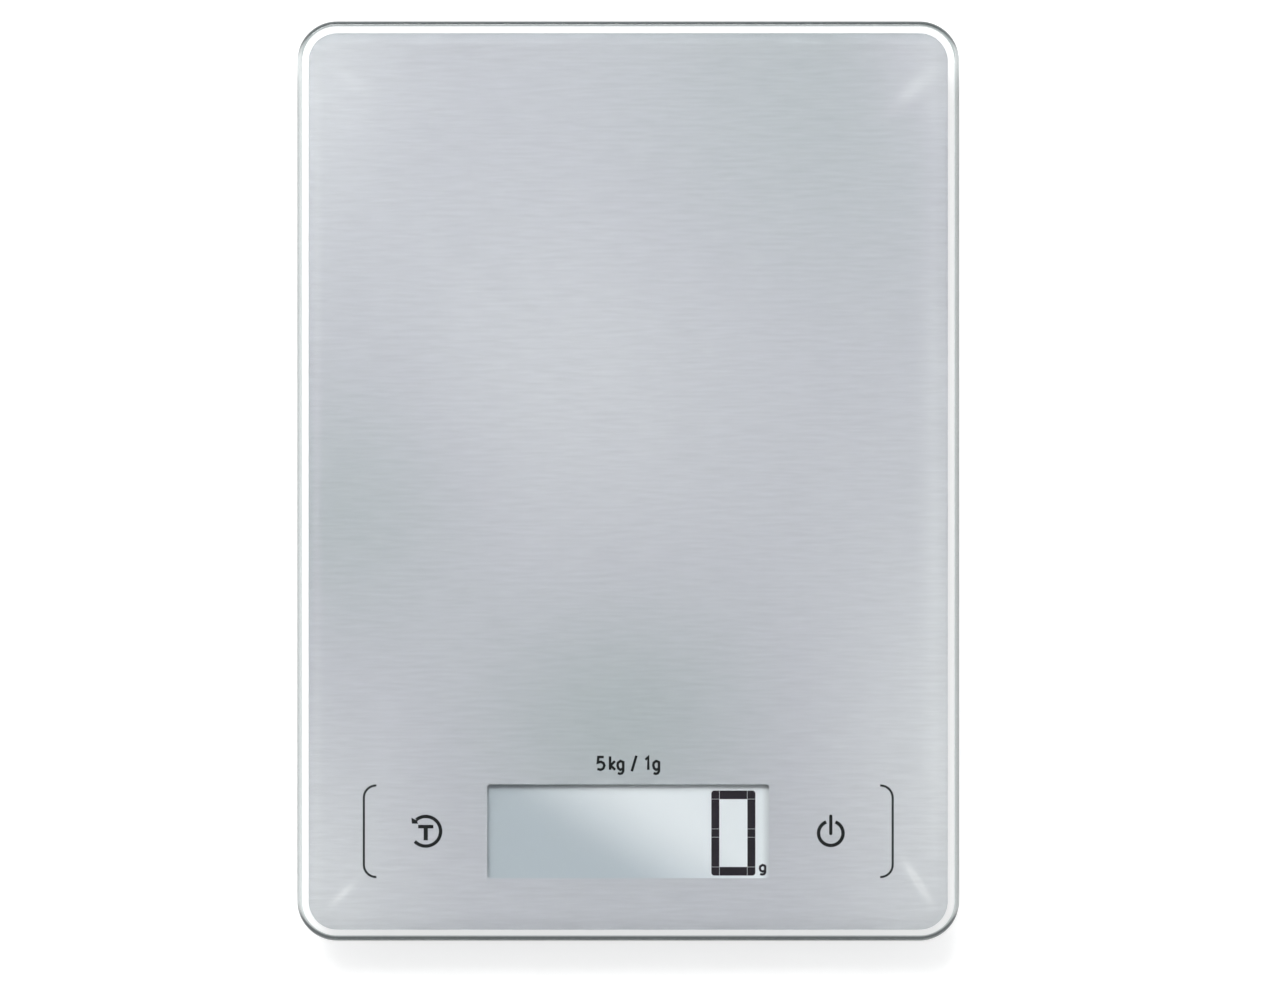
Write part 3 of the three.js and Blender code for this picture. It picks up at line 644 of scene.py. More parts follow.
def textured(wires, shader, group, values, depth, height=None):
    """Runs an effect into a shader's colour, roughness and bumps, which are of that depth."""
    texture = placed(wires, group, values)
    wires.join(texture["Colour"], shader.inputs["Base Color"])
    wires.join(texture["Roughness"], shader.inputs["Roughness"])
    height = texture["Height"] if height is None else height
    relief = {"Height": height, "Distance": depth, "Strength": 1.0}
    wires.join(wires.add("ShaderNodeBump", relief).outputs["Normal"], shader.inputs["Normal"])
    return texture


def fixed(shader, **values):
    """Sets a shader's own inputs, named with _ for each space."""
    for name, value in values.items():
        shader.inputs[name.replace("_", " ")].default_value = value


def rgba(colour):
    return (*colour[:3], 1.0)


def moulded(
    name,
    colour,
    roughness,
    grain_scale=2500.0,
    depth=0.012 * MM,
    tone=0.12,
    sheen=0.0,
    specular=0.5,
):
    """Plastic or rubber with a moulded texture."""
    result, wires, shader = material(name)
    values = {
        "Colour": rgba(colour),
        "Tone Spread": tone,
        "Roughness": roughness,
        "Grain Scale": grain_scale,
    }
    fixed(shader, Sheen_Weight=sheen, Specular_IOR_Level=specular)
    textured(wires, shader, moulded_texture(), values, depth)
    return result


def metal(name, colour, roughness, line_scale):
    """Bare sheet metal with fine drawing lines."""
    result, wires, shader = material(name)
    values = {
        "Colour": rgba(colour),
        "Tone Spread": 0.16,
        "Roughness": roughness,
        "Line Scale": line_scale,
    }
    fixed(shader, Metallic=1.0)
    textured(wires, shader, brushed_lines(), values, 0.004 * MM)
    return result


# ---- Finishes ----
def lamps_through(wires, result, shader, tint):
    """Lets lamps shine through a glass shader, so that what is under it isn't in its shadow."""
    passing = wires.add("ShaderNodeBsdfTransparent", {"Color": tint})
    ray = wires.add("ShaderNodeLightPath").outputs["Is Shadow Ray"]
    mix = wires.add("ShaderNodeMixShader", {0: ray, 1: shader.outputs[0], 2: passing.outputs[0]})
    wires.join(mix.outputs[0], result.node_tree.nodes["Material Output"].inputs["Surface"])


GLASS_IOR = 1.5
EDGE_PASSING = (0.85, 0.88, 0.88, 1.0)  # lamp light that gets through the ground edge
# Painted shade on the ground edge, which darkens as it turns to the front, the back and the right:
# from and to these shares of the normal, from and to these tones
FRONT_SHADE = (0.03, 0.35, 0.0, 1.0)
RIGHT_SHADE = (0.05, 0.6, 0.0, 0.42)


def clear_glass():
    look = bpy.context.scene.scale_platform
    result, wires, shader = material("Clear Tempered Glass")
    tint = rgba(look.glass_tint)
    fixed(shader, Base_Color=tint, Roughness=0.0, IOR=GLASS_IOR, Transmission_Weight=1.0)
    lamps_through(wires, result, shader, tint)
    return result


def ground_edge():
    """Ground edge of the glass, with painted shade: darker along the front, the back and the right.
    """
    look = bpy.context.scene.scale_platform
    result, wires, shader = material("Ground Glass Edge")
    parts = wires.parts(wires.add("ShaderNodeNewGeometry").outputs["Normal"])
    front = wires.range(wires.maths("ABSOLUTE", parts["Y"]), *FRONT_SHADE)
    share = wires.maths("MAXIMUM", front, wires.range(parts["X"], *RIGHT_SHADE))
    values = {
        "Colour": wires.stops(share, ((0.0, tuple(look.edge_tint)), (1.0, tuple(look.painted_edge_shade)))),
        "Tone Spread": 0.1,
        "Roughness": 0.12,
        "Roughness Spread": 0.1,
        "Grain Scale": 900.0,
    }
    fixed(shader, IOR=GLASS_IOR, Transmission_Weight=0.9)
    textured(wires, shader, moulded_texture(), values, 0.002 * MM)
    lamps_through(wires, result, shader, EDGE_PASSING)
    return result


FILM_TONE = 0.4  # between patches, from 0, dark, to 1, light
# Film colours by tone, from painted shade at 0 through the silver of the film to painted highlight
# at 1
FILM_RAMP = (
    (0.0, (0.418, 0.464, 0.477)),
    (0.4, (0.523, 0.537, 0.577)),
    (0.88, (0.666, 0.685, 0.709)),
    (1.0, (0.755, 0.770, 0.790)),
)
# Painted reflections on the film, patches of painted light and painted shade: middle, reach (mm)
# and strength
FILM_PAINTED_LIGHT = (
    ((-18, 34), (52, 50), 0.16),
    ((-3, -74), (40, 34), -0.34),
    ((-99, 134), (26, 52), 0.3),
    ((-86, -8), (36, 38), -0.25),
    ((60, 118), (60, 56), -0.22),
    ((-99, -132), (34, 52), 0.43),
    ((97, -104), (34, 84), 0.42),
    ((96, 134), (22, 30), 0.28),
    ((-94, 0), (1.3, 122), 0.13),
    ((93, 0), (4, 122), 0.19),
)
# Painted glints near its corners, streaks of painted highlight: middle (mm), heading (degrees),
# half length, half width, strength
FILM_PAINTED_GLINTS = (
    ((86, 119), 45, 8, 2.4, 0.3),
    ((-86, -125), 45, 6, 1.4, 0.24),
    ((87, -121), -58, 8, 1.5, 0.3),
    ((-84, 122), -45, 7, 2.6, 0.1),
)


def brushed_film():
    """Silver film with fine brushing across the scale, and painted reflections: slow patches of
    painted light and shade, and painted glints near its corners.
    """
    look = bpy.context.scene.scale_platform
    result, wires, shader = material("Brushed Silver Film")
    tone = FILM_TONE
    for (x, y), (reach_x, reach_y), strength in FILM_PAINTED_LIGHT:
        values = {
            "Tone": tone,
            "Middle": (x * MM, y * MM, 0.0),
            "Reach": (reach_x * MM, reach_y * MM, 1.0),
            "Strength": strength,
        }
        tone = placed(wires, painted_light_patch(), values)["Tone"]
    for (x, y), heading, length, width, strength in FILM_PAINTED_GLINTS:
        angle = math.radians(heading)
        values = {
            "Tone": tone,
            "Middle": (x * MM, y * MM, 0.0),
            "Heading": (math.cos(angle), math.sin(angle), 0.0),
            "Half Length": length * MM,
            "Half Width": width * MM,
            "Strength": strength,
        }
        tone = placed(wires, painted_glint_streak(), values)["Tone"]
    values = {
        "Colour": wires.stops(tone, FILM_RAMP),
        "Tone Spread": 0.3,
        "Roughness": look.film_roughness,
        "Roughness Spread": 0.25,
        "Line Scale": (90.0, 950.0, 1.0),
    }
    fixed(shader, Metallic=0.35)
    textured(wires, shader, brushed_lines(), values, 0.003 * MM)
    return result


def ink(name, colour):
    return moulded(name, colour, 0.6, grain_scale=4000.0, depth=0.002 * MM, tone=0.2, specular=0.08)


# Painted reflection across the display: painted shade towards the user on the left, painted light
# towards the back right
SHADE_MIDDLE_X = -2.5 * MM  # where the shade on the display is half way
SHADE_HEADING = (0.557, 0.83, 0.0)  # across the shade, towards the light side
SHADE_REACH = 14 * MM
SHADE_MIXES = ((0.0, 0.0), (0.22, 0.06), (0.5, 0.45), (0.78, 0.85), (1.0, 1.0))
# Painted shade: the display face is coloured darker down the right side of the window
PAINTED_SIDE_SHADE = 2.2 * MM  # darker band down the right side of the window
PAINTED_SIDE_SHADE_TONE = 0.66


def display_face():
    """Grey display behind its polariser, with a painted reflection across it: painted light towards
    the back right, painted shade towards the user on the left.
    """
    look = bpy.context.scene.scale_display
    result, wires, shader = material("Display Polariser")
    away = wires.vector("SUBTRACT", wires.place(), (SHADE_MIDDLE_X, WINDOW_Y, 0.0))
    share = wires.range(wires.dot(away, SHADE_HEADING), -SHADE_REACH, SHADE_REACH, 0.0, 1.0)
    dark, light = Vector(look.dark_side), Vector(look.painted_reflection_side)
    colour = wires.stops(share, [(at, tuple(dark.lerp(light, mix))) for at, mix in SHADE_MIXES])
    across = wires.parts(wires.place())["X"]
    band = wires.range(across, WINDOW_HALF_X - PAINTED_SIDE_SHADE, WINDOW_HALF_X, 1.0, PAINTED_SIDE_SHADE_TONE)
    values = {
        "Colour": wires.tinted(colour, wires.grey(band)),
        "Tone Spread": 0.03,
        "Roughness": 0.35,
        "Grain Scale": 5000.0,
    }
    # Painted glow in the colour of the face, painted reflection and all
    fixed(shader, Emission_Strength=look.painted_glow)
    texture = textured(wires, shader, moulded_texture(), values, 0.002 * MM)
    wires.join(texture["Colour"], shader.inputs["Emission Color"])
    return result


SLEEVE_HALF = 15.5 * MM  # middle of a cell to the pale band at each end


def striped_sleeve():
    """Blue shrink sleeve of a cell, with a pale band round each end."""
    result, wires, shader = material("Cell Sleeve")
    across = wires.maths("ABSOLUTE", wires.parts(wires.place())["X"])
    band = wires.maths("GREATER_THAN", across, SLEEVE_HALF)
    colour = wires.stops(band, ((0.0, (0.055, 0.115, 0.19)), (1.0, (0.62, 0.63, 0.64))))
    values = {"Colour": colour, "Tone Spread": 0.08, "Roughness": 0.28, "Grain Scale": 1500.0}
    fixed(shader, Coat_Weight=0.4)
    textured(wires, shader, moulded_texture(), values, 0.003 * MM)
    return result


def board_laminate():
    """Solder mask over copper, with the tracks showing through as lighter lines."""
    result, wires, shader = material("Board Laminate")
    bricks = wires.add(
        "ShaderNodeTexBrick",
        {
            "Vector": wires.place(),
            "Color1": (0.030, 0.150, 0.065, 1),
            "Color2": (0.024, 0.125, 0.055, 1),
            "Mortar": (0.055, 0.235, 0.105, 1),
            "Scale": 240.0,
            "Mortar Size": 0.03,
        },
    )
    tracks = bricks.outputs
    values = {
        "Colour": tracks["Color"],
        "Tone Spread": 0.15,
        "Roughness": 0.35,
        "Grain Scale": 1800.0,
    }
    textured(wires, shader, moulded_texture(), values, 0.02 * MM, height=tracks["Fac"])
    return result


def foil_grid():
    """Amber carrier film of a strain gauge with its metal meander."""
    result, wires, shader = material("Gauge Film")
    wave = wires.add(
        "ShaderNodeTexWave",
        {"Vector": wires.place(), "Scale": 700.0, "Distortion": 0.0},
        wave_type="BANDS",
        bands_direction="Y",
    )
    amber_and_metal = ((0.45, (0.46, 0.25, 0.05)), (0.6, (0.55, 0.47, 0.33)))
    colour = wires.stops(wave.outputs["Fac"], amber_and_metal)
    values = {"Colour": colour, "Tone Spread": 0.1, "Roughness": 0.3, "Grain Scale": 3000.0}
    textured(wires, shader, moulded_texture(), values, 0.003 * MM)
    return result


def body_finish(name, key, roughness, **options):
    return lambda: moulded(name, getattr(bpy.context.scene.scale_body, key), roughness, **options)


def plain_finish(name, colour, roughness, **options):
    return lambda: moulded(name, colour, roughness, **options)


# Moulded finishes give their name, colour or colour setting, and roughness
FINISHES = {
    "glass": clear_glass,
    "brushed_film": brushed_film,
    "display_glass": display_face,
    "cell_sleeve": striped_sleeve,
    "board_laminate": board_laminate,
    "gauge_film": foil_grid,
    "tray_plastic": body_finish(
        "Textured Tray Plastic", "tray", 0.55, grain_scale=1700.0, depth=0.03 * MM
    ),
    "foot_plastic": body_finish("Satin Foot Plastic", "foot", 0.42, grain_scale=2600.0),
    "foot_rubber": body_finish(
        "Soft Foot Rubber", "rubber", 0.8, grain_scale=1500.0, depth=0.03 * MM, sheen=0.15
    ),
    "foam_tape": plain_finish(
        "Foam Tape", (0.04, 0.043, 0.046), 0.9, grain_scale=1200.0, depth=0.08 * MM
    ),
    "chip_plastic": plain_finish("Chip Moulding", (0.011, 0.012, 0.013), 0.6, grain_scale=3500.0),
    "white_plastic": plain_finish("White Moulding", (0.79, 0.80, 0.82), 0.4),
    "connector_rubber": plain_finish(
        "Pink Contact Strip", (0.69, 0.27, 0.35), 0.7, grain_scale=1500.0
    ),
    "conductive_foam": plain_finish(
        "Conductive Foam", (0.06, 0.062, 0.065), 0.95, grain_scale=900.0, depth=0.15 * MM
    ),
    "lead_grey": plain_finish("Grey Lead", (0.25, 0.26, 0.27), 0.45),
    "lead_red": plain_finish("Red Lead", (0.39, 0.034, 0.024), 0.45),
    "lead_black": plain_finish("Black Lead", (0.017, 0.017, 0.019), 0.45),
    "contact_metal": lambda: metal(
        "Nickel Plate", (0.62, 0.61, 0.58), 0.28, (400.0, 2200.0, 400.0)
    ),
    "load_cell_steel": lambda: metal(
        "Zinc Plated Steel", (0.52, 0.54, 0.56), 0.38, (260.0, 2600.0, 2600.0)
    ),
}
_finishes = {}


def finish(slot):
    """The material of a slot, made the first time that it is asked for."""
    if slot not in _finishes:
        _finishes[slot] = FINISHES[slot]()
    return _finishes[slot]


WELD_REACH = 0.001 * MM
SHARP_ANGLE = math.radians(40)


def dressed(nodes, slot, soft_edge=0.0):
    """Gives CAD nodes their finish and, if asked, rounded edges."""
    for name in nodes:
        node = NODES[name]
        node.data.materials.clear()
        node.data.materials.append(finish(slot))
        if soft_edge:
            node.data.shade_smooth()
            weld = node.modifiers.new("Joined corners", "WELD")
            weld.merge_threshold = WELD_REACH
            bevel = node.modifiers.new("Rounded edges", "BEVEL")
            bevel.width = soft_edge
            bevel.segments = 2
            bevel.limit_method = "ANGLE"
            bevel.angle_limit = SHARP_ANGLE
            flat_faces_lead(node)


# ---- Pieces ----
class ScaleOperator(Operator):
    """Base of the operators that make pieces."""

    bl_options = {"REGISTER", "UNDO"}

    def execute(self, context):
        self.build(context)
        return {"FINISHED"}


class SCALE_OT_glass(ScaleOperator):
    """Makes the glass plate with its ground and polished edge"""

    bl_idname = "kitchen_scale.glass"
    bl_label = "Glass Plate"

    CORNER_STEPS = 24
    EDGE_STEPS = 8

    def build(self, context):
        radius = context.scene.scale_platform.edge_radius
        half_x = (PLATE_HIGH.x - PLATE_LOW.x) / 2
        half_y = (PLATE_HIGH.y - PLATE_LOW.y) / 2
        turn = [math.pi / 2 * i / self.EDGE_STEPS for i in range(self.EDGE_STEPS + 1)]
        edge = [(radius * (1 - math.sin(a)), radius * (1 - math.cos(a))) for a in turn]
        levels = [(inset, GLASS_BOTTOM + height) for inset, height in edge]
        levels += [(inset, PLATE_HIGH.z - height) for inset, height in reversed(edge)]
        rings = []
        for inset, z in levels:
            size = (half_x - inset, half_y - inset, PLATE_CORNER - inset)
            rings.append(at_level(rounded_rectangle(*size, self.CORNER_STEPS), z))
        bm = bmesh.new()
        lofted(bm, rings, material_of=lambda index: 1)
        glass = [finish("glass"), ground_edge()]
        plate = made("glass_plate", bm, glass, "root", "glass", smooth_angle=50)
        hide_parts("glass_platform")


class SCALE_OT_film(ScaleOperator):
    """Makes the brushed film with its sloped border and its window"""

    bl_idname = "kitchen_scale.film"
    bl_label = "Brushed Film"

    CORNER_STEPS = 20
    EDGE_DROP = 0.12 * MM

    def build(self, context):
        border = context.scene.scale_platform.border_width
        half_x = (FILM_HIGH.x - FILM_LOW.x) / 2
        half_y = (FILM_HIGH.y - FILM_LOW.y) / 2
        corner = PLATE_CORNER - CLEAR_RIM
        inner_corner = max(corner - border, 1 * MM)
        outer = rounded_rectangle(half_x, half_y, corner, self.CORNER_STEPS)
        slope = rounded_rectangle(half_x - border, half_y - border, inner_corner, self.CORNER_STEPS)
        window = rounded_rectangle(
            WINDOW_HALF_X, WINDOW_HALF_Y, WINDOW_CORNER, self.CORNER_STEPS, (0, WINDOW_Y)
        )
        rings = [
            at_level(outer, FILM_LOW.z),
            at_level(outer, FILM_TOP - self.EDGE_DROP),
            at_level(slope, FILM_TOP),
            at_level(window, FILM_TOP),
            at_level(window, FILM_LOW.z),
        ]
        bm = bmesh.new()
        lofted(bm, rings, closed_loop=True)
        film = made("brushed_panel", bm, [finish("brushed_film")], "root", "brushed_film")
        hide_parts("printed_film")
        dressed(["bonding_tape"], "foam_tape")


class SCALE_OT_print(ScaleOperator):
    """Makes the printed brackets, the two key marks and the capacity marking"""

    bl_idname = "kitchen_scale.print"
    bl_label = "Printed Marks"

    BRACKET_CORNER = 3.7 * MM
    BRACKET_REACH = 3.8 * MM
    BRACKET_STROKE = 0.68 * MM
    TARE_RING = 4.5 * MM
    TARE_STROKE = 1.04 * MM
    TARE_ARC = (130, -137)  # from and to (degrees)
    ARROW_HEAD = ((-4.35, 4.15), (-4.2, 2.35), (-2.35, 2.3), (-2.65, 3.25))  # about the key (mm)
    ARROW_STEP = 0.002 * MM  # the head is this much higher than the ring that it laps
    HALF_T = ((-2.3, 1.95), (-2.3, 0.88), (-0.64, 0.88), (-0.64, -2.75))  # about the key (mm)
    POWER_RING = 3.7 * MM
    POWER_STROKE = 1.06 * MM
    POWER_GAP = 22  # half the opening of the ring (degrees)
    POWER_DROP = 0.6 * MM
    POWER_BAR = (-0.1 * MM, 5.2 * MM)  # above the middle of the ring
    POWER_BAR_WIDTH = 0.98 * MM
    MARK_HEIGHT = 3.9 * MM
    MARK_STROKE = 0.78 * MM
    MARK_RISE = 4.4 * MM  # above the window

    def build(self, context):
        look = context.scene.scale_print
        black = ink("Key Ink", look.ink)
        self.brackets(look, ink("Bracket Ink", look.bracket_ink))
        self.tare(black)
        self.power(black)
        self.capacity(black)

    def piece(self, name, bm, used_ink):
        return made(name, bm, [used_ink], "root", "brushed_film")

    def brackets(self, look, grey):
        bm = bmesh.new()
        radius = self.BRACKET_CORNER
        inner = look.bracket_x - radius
        end = look.bracket_x - self.BRACKET_REACH
        top, bottom = WINDOW_Y + look.bracket_half_height, WINDOW_Y - look.bracket_half_height
        points = [(end, top), *arc((inner, top - radius), radius, 90, 0, steps=8)]
        points += [*arc((inner, bottom + radius), radius, 0, -90, steps=8), (end, bottom)]
        for side in (-1, 1):
            stroke(bm, [(side * x, y) for x, y in points], self.BRACKET_STROKE, INK_LOW, INK_HIGH)
        self.piece("key_brackets", bm, grey)

    def tare(self, black):
        x = (TARE_LOW.x + TARE_HIGH.x) / 2
        bm = bmesh.new()
        ring = arc((x, WINDOW_Y), self.TARE_RING, *self.TARE_ARC, steps=56)
        stroke(bm, ring, self.TARE_STROKE, INK_LOW, INK_HIGH)
        letter_t = [*self.HALF_T, *((-px, py) for px, py in reversed(self.HALF_T))]
        for shape, step in ((self.ARROW_HEAD, self.ARROW_STEP), (letter_t, 0.0)):
            outline = [(x + px * MM, WINDOW_Y + py * MM) for px, py in shape]
            prism(bm, outline, INK_LOW, INK_HIGH + step)
        self.piece("tare_mark", bm, black)

    def power(self, black):
        x = (POWER_LOW.x + POWER_HIGH.x) / 2
        y = WINDOW_Y - self.POWER_DROP
        bm = bmesh.new()
        ring = arc((x, y), self.POWER_RING, 90 - self.POWER_GAP, -270 + self.POWER_GAP, steps=60)
        stroke(bm, ring, self.POWER_STROKE, INK_LOW, INK_HIGH)
        start, end = ((x, y + rise) for rise in self.POWER_BAR)
        round_ended(bm, start, end, self.POWER_BAR_WIDTH, INK_LOW, INK_HIGH)
        self.piece("power_mark", bm, black)

    def capacity(self, black):
        """The plain marking of the largest load and the step, in single strokes."""
        bm = bmesh.new()
        height = self.MARK_HEIGHT
        y = WINDOW_Y + WINDOW_HALF_Y + self.MARK_RISE
        pen = -sum(advance for _, advance in MARKING) * height / 2
        for glyph, advance in MARKING:
            written(bm, glyph, (pen, y), (height, height), self.MARK_STROKE, INK_LOW, INK_HIGH)
            pen += advance * height
        self.piece("capacity_mark", bm, black)


# Single-stroke figures, one unit high: each is a list of lines
STROKES = {
    " ": [],
    "5": [
        [(0.52, 1.0), (0.1, 1.0), (0.06, 0.56), (0.3, 0.63), (0.5, 0.52)]
        + [(0.57, 0.32), (0.48, 0.1), (0.28, 0.0), (0.02, 0.07)]
    ],
    "1": [[(0.06, 0.78), (0.28, 1.0), (0.28, 0.0)]],
    "/": [[(0.0, -0.12), (0.36, 1.1)]],
    "k": [[(0.06, 1.05), (0.06, 0.0)], [(0.44, 0.68), (0.1, 0.34), (0.46, 0.0)]],
    "g": [
        [(0.44, 0.6), (0.24, 0.69), (0.05, 0.54), (0.02, 0.33)]
        + [(0.08, 0.12), (0.24, 0.0), (0.44, 0.1)],
        [(0.46, 0.68), (0.46, -0.1), (0.36, -0.27), (0.2, -0.31), (0.04, -0.25)],
    ],
}
# Figures and gaps of the capacity marking, with how far each moves the pen (heights)
MARKING = (("5", 0.85), (" ", 0.1), ("k", 0.62), ("g", 0.62), (" ", 0.5))
MARKING += (("/", 0.5), (" ", 0.5), ("1", 0.5), (" ", 0.15), ("g", 0.5))


class SCALE_OT_display(ScaleOperator):
    """Makes the display segments and dresses the display stack"""

    bl_idname = "kitchen_scale.display"
    bl_label = "Display"

    DIGIT_X = 31.75 * MM  # middle of the figure
    DIGIT_Y = -0.4 * MM
    HALF_WIDTH = 6.65 * MM
    HALF_HEIGHT = 12.9 * MM
    UPRIGHT = 2.45 * MM
    BAR = 2.6 * MM
    GAP = 0.09 * MM
    MIDDLE = 1.27 * MM  # half the height of the block between the uprights
    ROUNDING = 0.9 * MM
    GRAM_X = 39.7 * MM
    GRAM_DROP = 12.1 * MM
    GRAM_SIZE = (3.625 * MM, 2.9 * MM)
    GRAM_STROKE = 0.7 * MM

    def build(self, context):
        look = context.scene.scale_display
        dark = ink("Display Segment", look.segment)
        bm = bmesh.new()
        self.zero(bm)
        self.gram(bm)
        made("display_segments", bm, [dark], "root", "display_glass")
        dressed(["lcd_panel"], "display_glass")
        dressed(["lcd_frame", "lcd_reflector"], "white_plastic")
        dressed(["lcd_connector_front", "lcd_connector_rear"], "connector_rubber")

    def zero(self, bm):
        gap = self.GAP / 2
        inner_x = self.HALF_WIDTH - self.UPRIGHT
        inner_y = self.HALF_HEIGHT - self.BAR
        bands = (
            (-inner_y + gap, -self.MIDDLE - gap),
            (-self.MIDDLE + gap, self.MIDDLE - gap),
            (self.MIDDLE + gap, inner_y - gap),
        )
        for side in (-1, 1):
            for low, high in bands:
                self.block(bm, side * (inner_x + gap), side * self.HALF_WIDTH, low, high)
            for up in (-1, 1):
                self.corner(bm, side, up, inner_x + gap, inner_y + gap)
        for up in (-1, 1):
            self.block(bm, -inner_x + gap, inner_x - gap, up * inner_y, up * self.HALF_HEIGHT)

    def block(self, bm, near, far, low, high):
        """A straight block of the figure."""
        (left, right), (bottom, top) = sorted((near, far)), sorted((low, high))
        self.segment(bm, [(left, bottom), (right, bottom), (right, top), (left, top)])

    def corner(self, bm, side, up, near_x, near_y):
        """A corner block of the figure, rounded on the outside."""
        middle = (self.HALF_WIDTH - self.ROUNDING, self.HALF_HEIGHT - self.ROUNDING)
        turn = arc(middle, self.ROUNDING, 0, 90, steps=6)
        outline = [(near_x, near_y), (self.HALF_WIDTH, near_y), *turn, (near_x, self.HALF_HEIGHT)]
        self.segment(bm, [(side * x, up * y) for x, y in outline])

    def segment(self, bm, outline):
        """A flat block with its outline round the middle of the figure."""
        middle_y = WINDOW_Y + self.DIGIT_Y
        prism(bm, [(self.DIGIT_X + x, middle_y + y) for x, y in outline], SEGMENT_LOW, SEGMENT_HIGH)

    def gram(self, bm):
        origin = (self.GRAM_X, WINDOW_Y - self.GRAM_DROP)
        written(bm, "g", origin, self.GRAM_SIZE, self.GRAM_STROKE, SEGMENT_LOW, SEGMENT_HIGH)


class SCALE_OT_tray(ScaleOperator):
    """Dresses the moulded tray, the battery cover and the unit button"""

    bl_idname = "kitchen_scale.tray"
    bl_label = "Tray and Cover"

    COVER_SHARE = 0.6  # how much of the tray's rounding the thinner parts have
    PLUNGER_SHARE = 0.5

    def build(self, context):
        edge = context.scene.scale_body.soft_edge
        dressed(["bottom_tray"], "tray_plastic", edge)
        dressed(["battery_cover"], "tray_plastic", edge * self.COVER_SHARE)
        dressed(["unit_button"], "foot_plastic", edge)
        dressed(["switch_plunger"], "white_plastic", edge * self.PLUNGER_SHARE)


class SCALE_OT_feet(ScaleOperator):
    """Makes the four rubber pads and dresses the foot cups"""

    bl_idname = "kitchen_scale.feet"
    bl_label = "Feet"

    STEPS = 64
    DIMPLE = ((0.25 * MM, 1.4 * MM), (0.0, 1.7 * MM))  # (depth, radius) in the middle of the pad
    GROOVES = (3.2 * MM, 5.2 * MM, 7.2 * MM)  # radii of the moulded grooves in the pad
    GROOVE_HALF = 0.35 * MM
    GROOVE_DEPTH = 0.3 * MM
    ROUND_EDGE = 0.5 * MM
    EDGE_STEPS = 5

    def build(self, context):
        edge = context.scene.scale_body.soft_edge
        for place in PLACES:
            self.pad(place)
            dressed(["foot_cup_" + place], "foot_plastic", edge)

    def pad(self, place):
        low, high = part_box("foot_pad_" + place)
        x, y = (low.x + high.x) / 2, (low.y + high.y) / 2
        radius = (high.x - low.x) / 2
        profile = list(self.DIMPLE)
        for middle in self.GROOVES:
            profile += [
                (0.0, middle - self.GROOVE_HALF),
                (self.GROOVE_DEPTH, middle - self.GROOVE_HALF * 0.5),
                (self.GROOVE_DEPTH, middle + self.GROOVE_HALF * 0.5),
                (0.0, middle + self.GROOVE_HALF),
            ]
        for step in range(self.EDGE_STEPS + 1):
            angle = math.pi / 2 * step / self.EDGE_STEPS
            rise, inset = 1 - math.cos(angle), 1 - math.sin(angle)
            profile.append((self.ROUND_EDGE * rise, radius - self.ROUND_EDGE * inset))
        profile.append((high.z - low.z, radius))
        bm = bmesh.new()
        rings = turned(profile, self.STEPS, lambda along, a, b: (x + a, y + b, low.z + along))
        lofted(bm, rings)
        name, body, slot = "rubber_pad_" + place, "foot_" + place, "foot_rubber"
        pad = made(name, bm, [finish(slot)], body, slot, smooth_angle=40)
        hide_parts("foot_pad_" + place)


class SCALE_OT_load_cells(ScaleOperator):
    """Makes the four load cells, with their tongues and foil gauges"""

    bl_idname = "kitchen_scale.load_cells"
    bl_label = "Load Cells"

    BAR = 3.5 * MM
    CORNER = 1 * MM
    INNER_CORNER = 0.4 * MM
    CORNER_STEPS = 3
    STRIP_CORNER = 0.1  # corner of a strip's section, in its thicknesses
    TONGUE_HALF = 6 * MM
    TONGUE_REACH = 17.5 * MM
    BOSS_RADIUS = 4 * MM
    LAP = 0.4 * MM  # of the tongue's end inside the frame
    THINNER = 0.02 * MM  # the tongue's faces lie this far inside the frame's
    STEPS = 24

    def build(self, context):
        for place in PLACES:
            low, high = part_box("load_cell_" + place)
            x, y = (low.x + high.x) / 2, (low.y + high.y) / 2
            half, root = (high.x - low.x) / 2, high.y - self.BAR
            bend = ((x, root, low.z), (x, y + self.BOSS_RADIUS, low.z))
            bm = bmesh.new()
            outside = rounded_rectangle(half, half, self.CORNER, self.CORNER_STEPS, (x, y))
            hole = half - self.BAR
            inside = rounded_rectangle(hole, hole, self.INNER_CORNER, self.CORNER_STEPS, (x, y))
            levels = ((outside, low.z), (outside, high.z), (inside, high.z), (inside, low.z))
            lofted(bm, [at_level(points, z) for points, z in levels], closed_loop=True)
            steel = [finish("load_cell_steel")]
            frame_piece = made("load_cell_frame_" + place, bm, steel, "root", "load_cell_steel")
            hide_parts("load_cell_" + place)
            tongue = (
                Vector((x - self.TONGUE_HALF, root - self.TONGUE_REACH, low.z + self.THINNER)),
                Vector((x + self.TONGUE_HALF, root + self.LAP, high.z - self.THINNER)),
            )
            self.strip("load_cell_tongue_", place, tongue, "load_cell_steel", bend)
            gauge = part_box("strain_gauge_" + place)
            foil = self.strip("gauge_foil_", place, gauge, "gauge_film", bend)
            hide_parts("strain_gauge_" + place)

    def strip(self, kind, place, box, slot, bend):
        """A straight flat bar along Y, between the tray and the foot."""
        low, high = box
        bm = bmesh.new()
        middle = ((low.x + high.x) / 2, (low.z + high.z) / 2)
        wide, thick = high.x - low.x, high.z - low.z
        section = rounded_rectangle(wide / 2, thick / 2, thick * self.STRIP_CORNER, 1, middle)
        stations = [low.y + (high.y - low.y) * step / self.STEPS for step in range(self.STEPS + 1)]
        lofted(bm, [[(x, y, z) for x, z in section] for y in stations])
        piece = made(kind + place, bm, [finish(slot)], None, slot, smooth_angle=30)
        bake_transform(piece)
        return piece


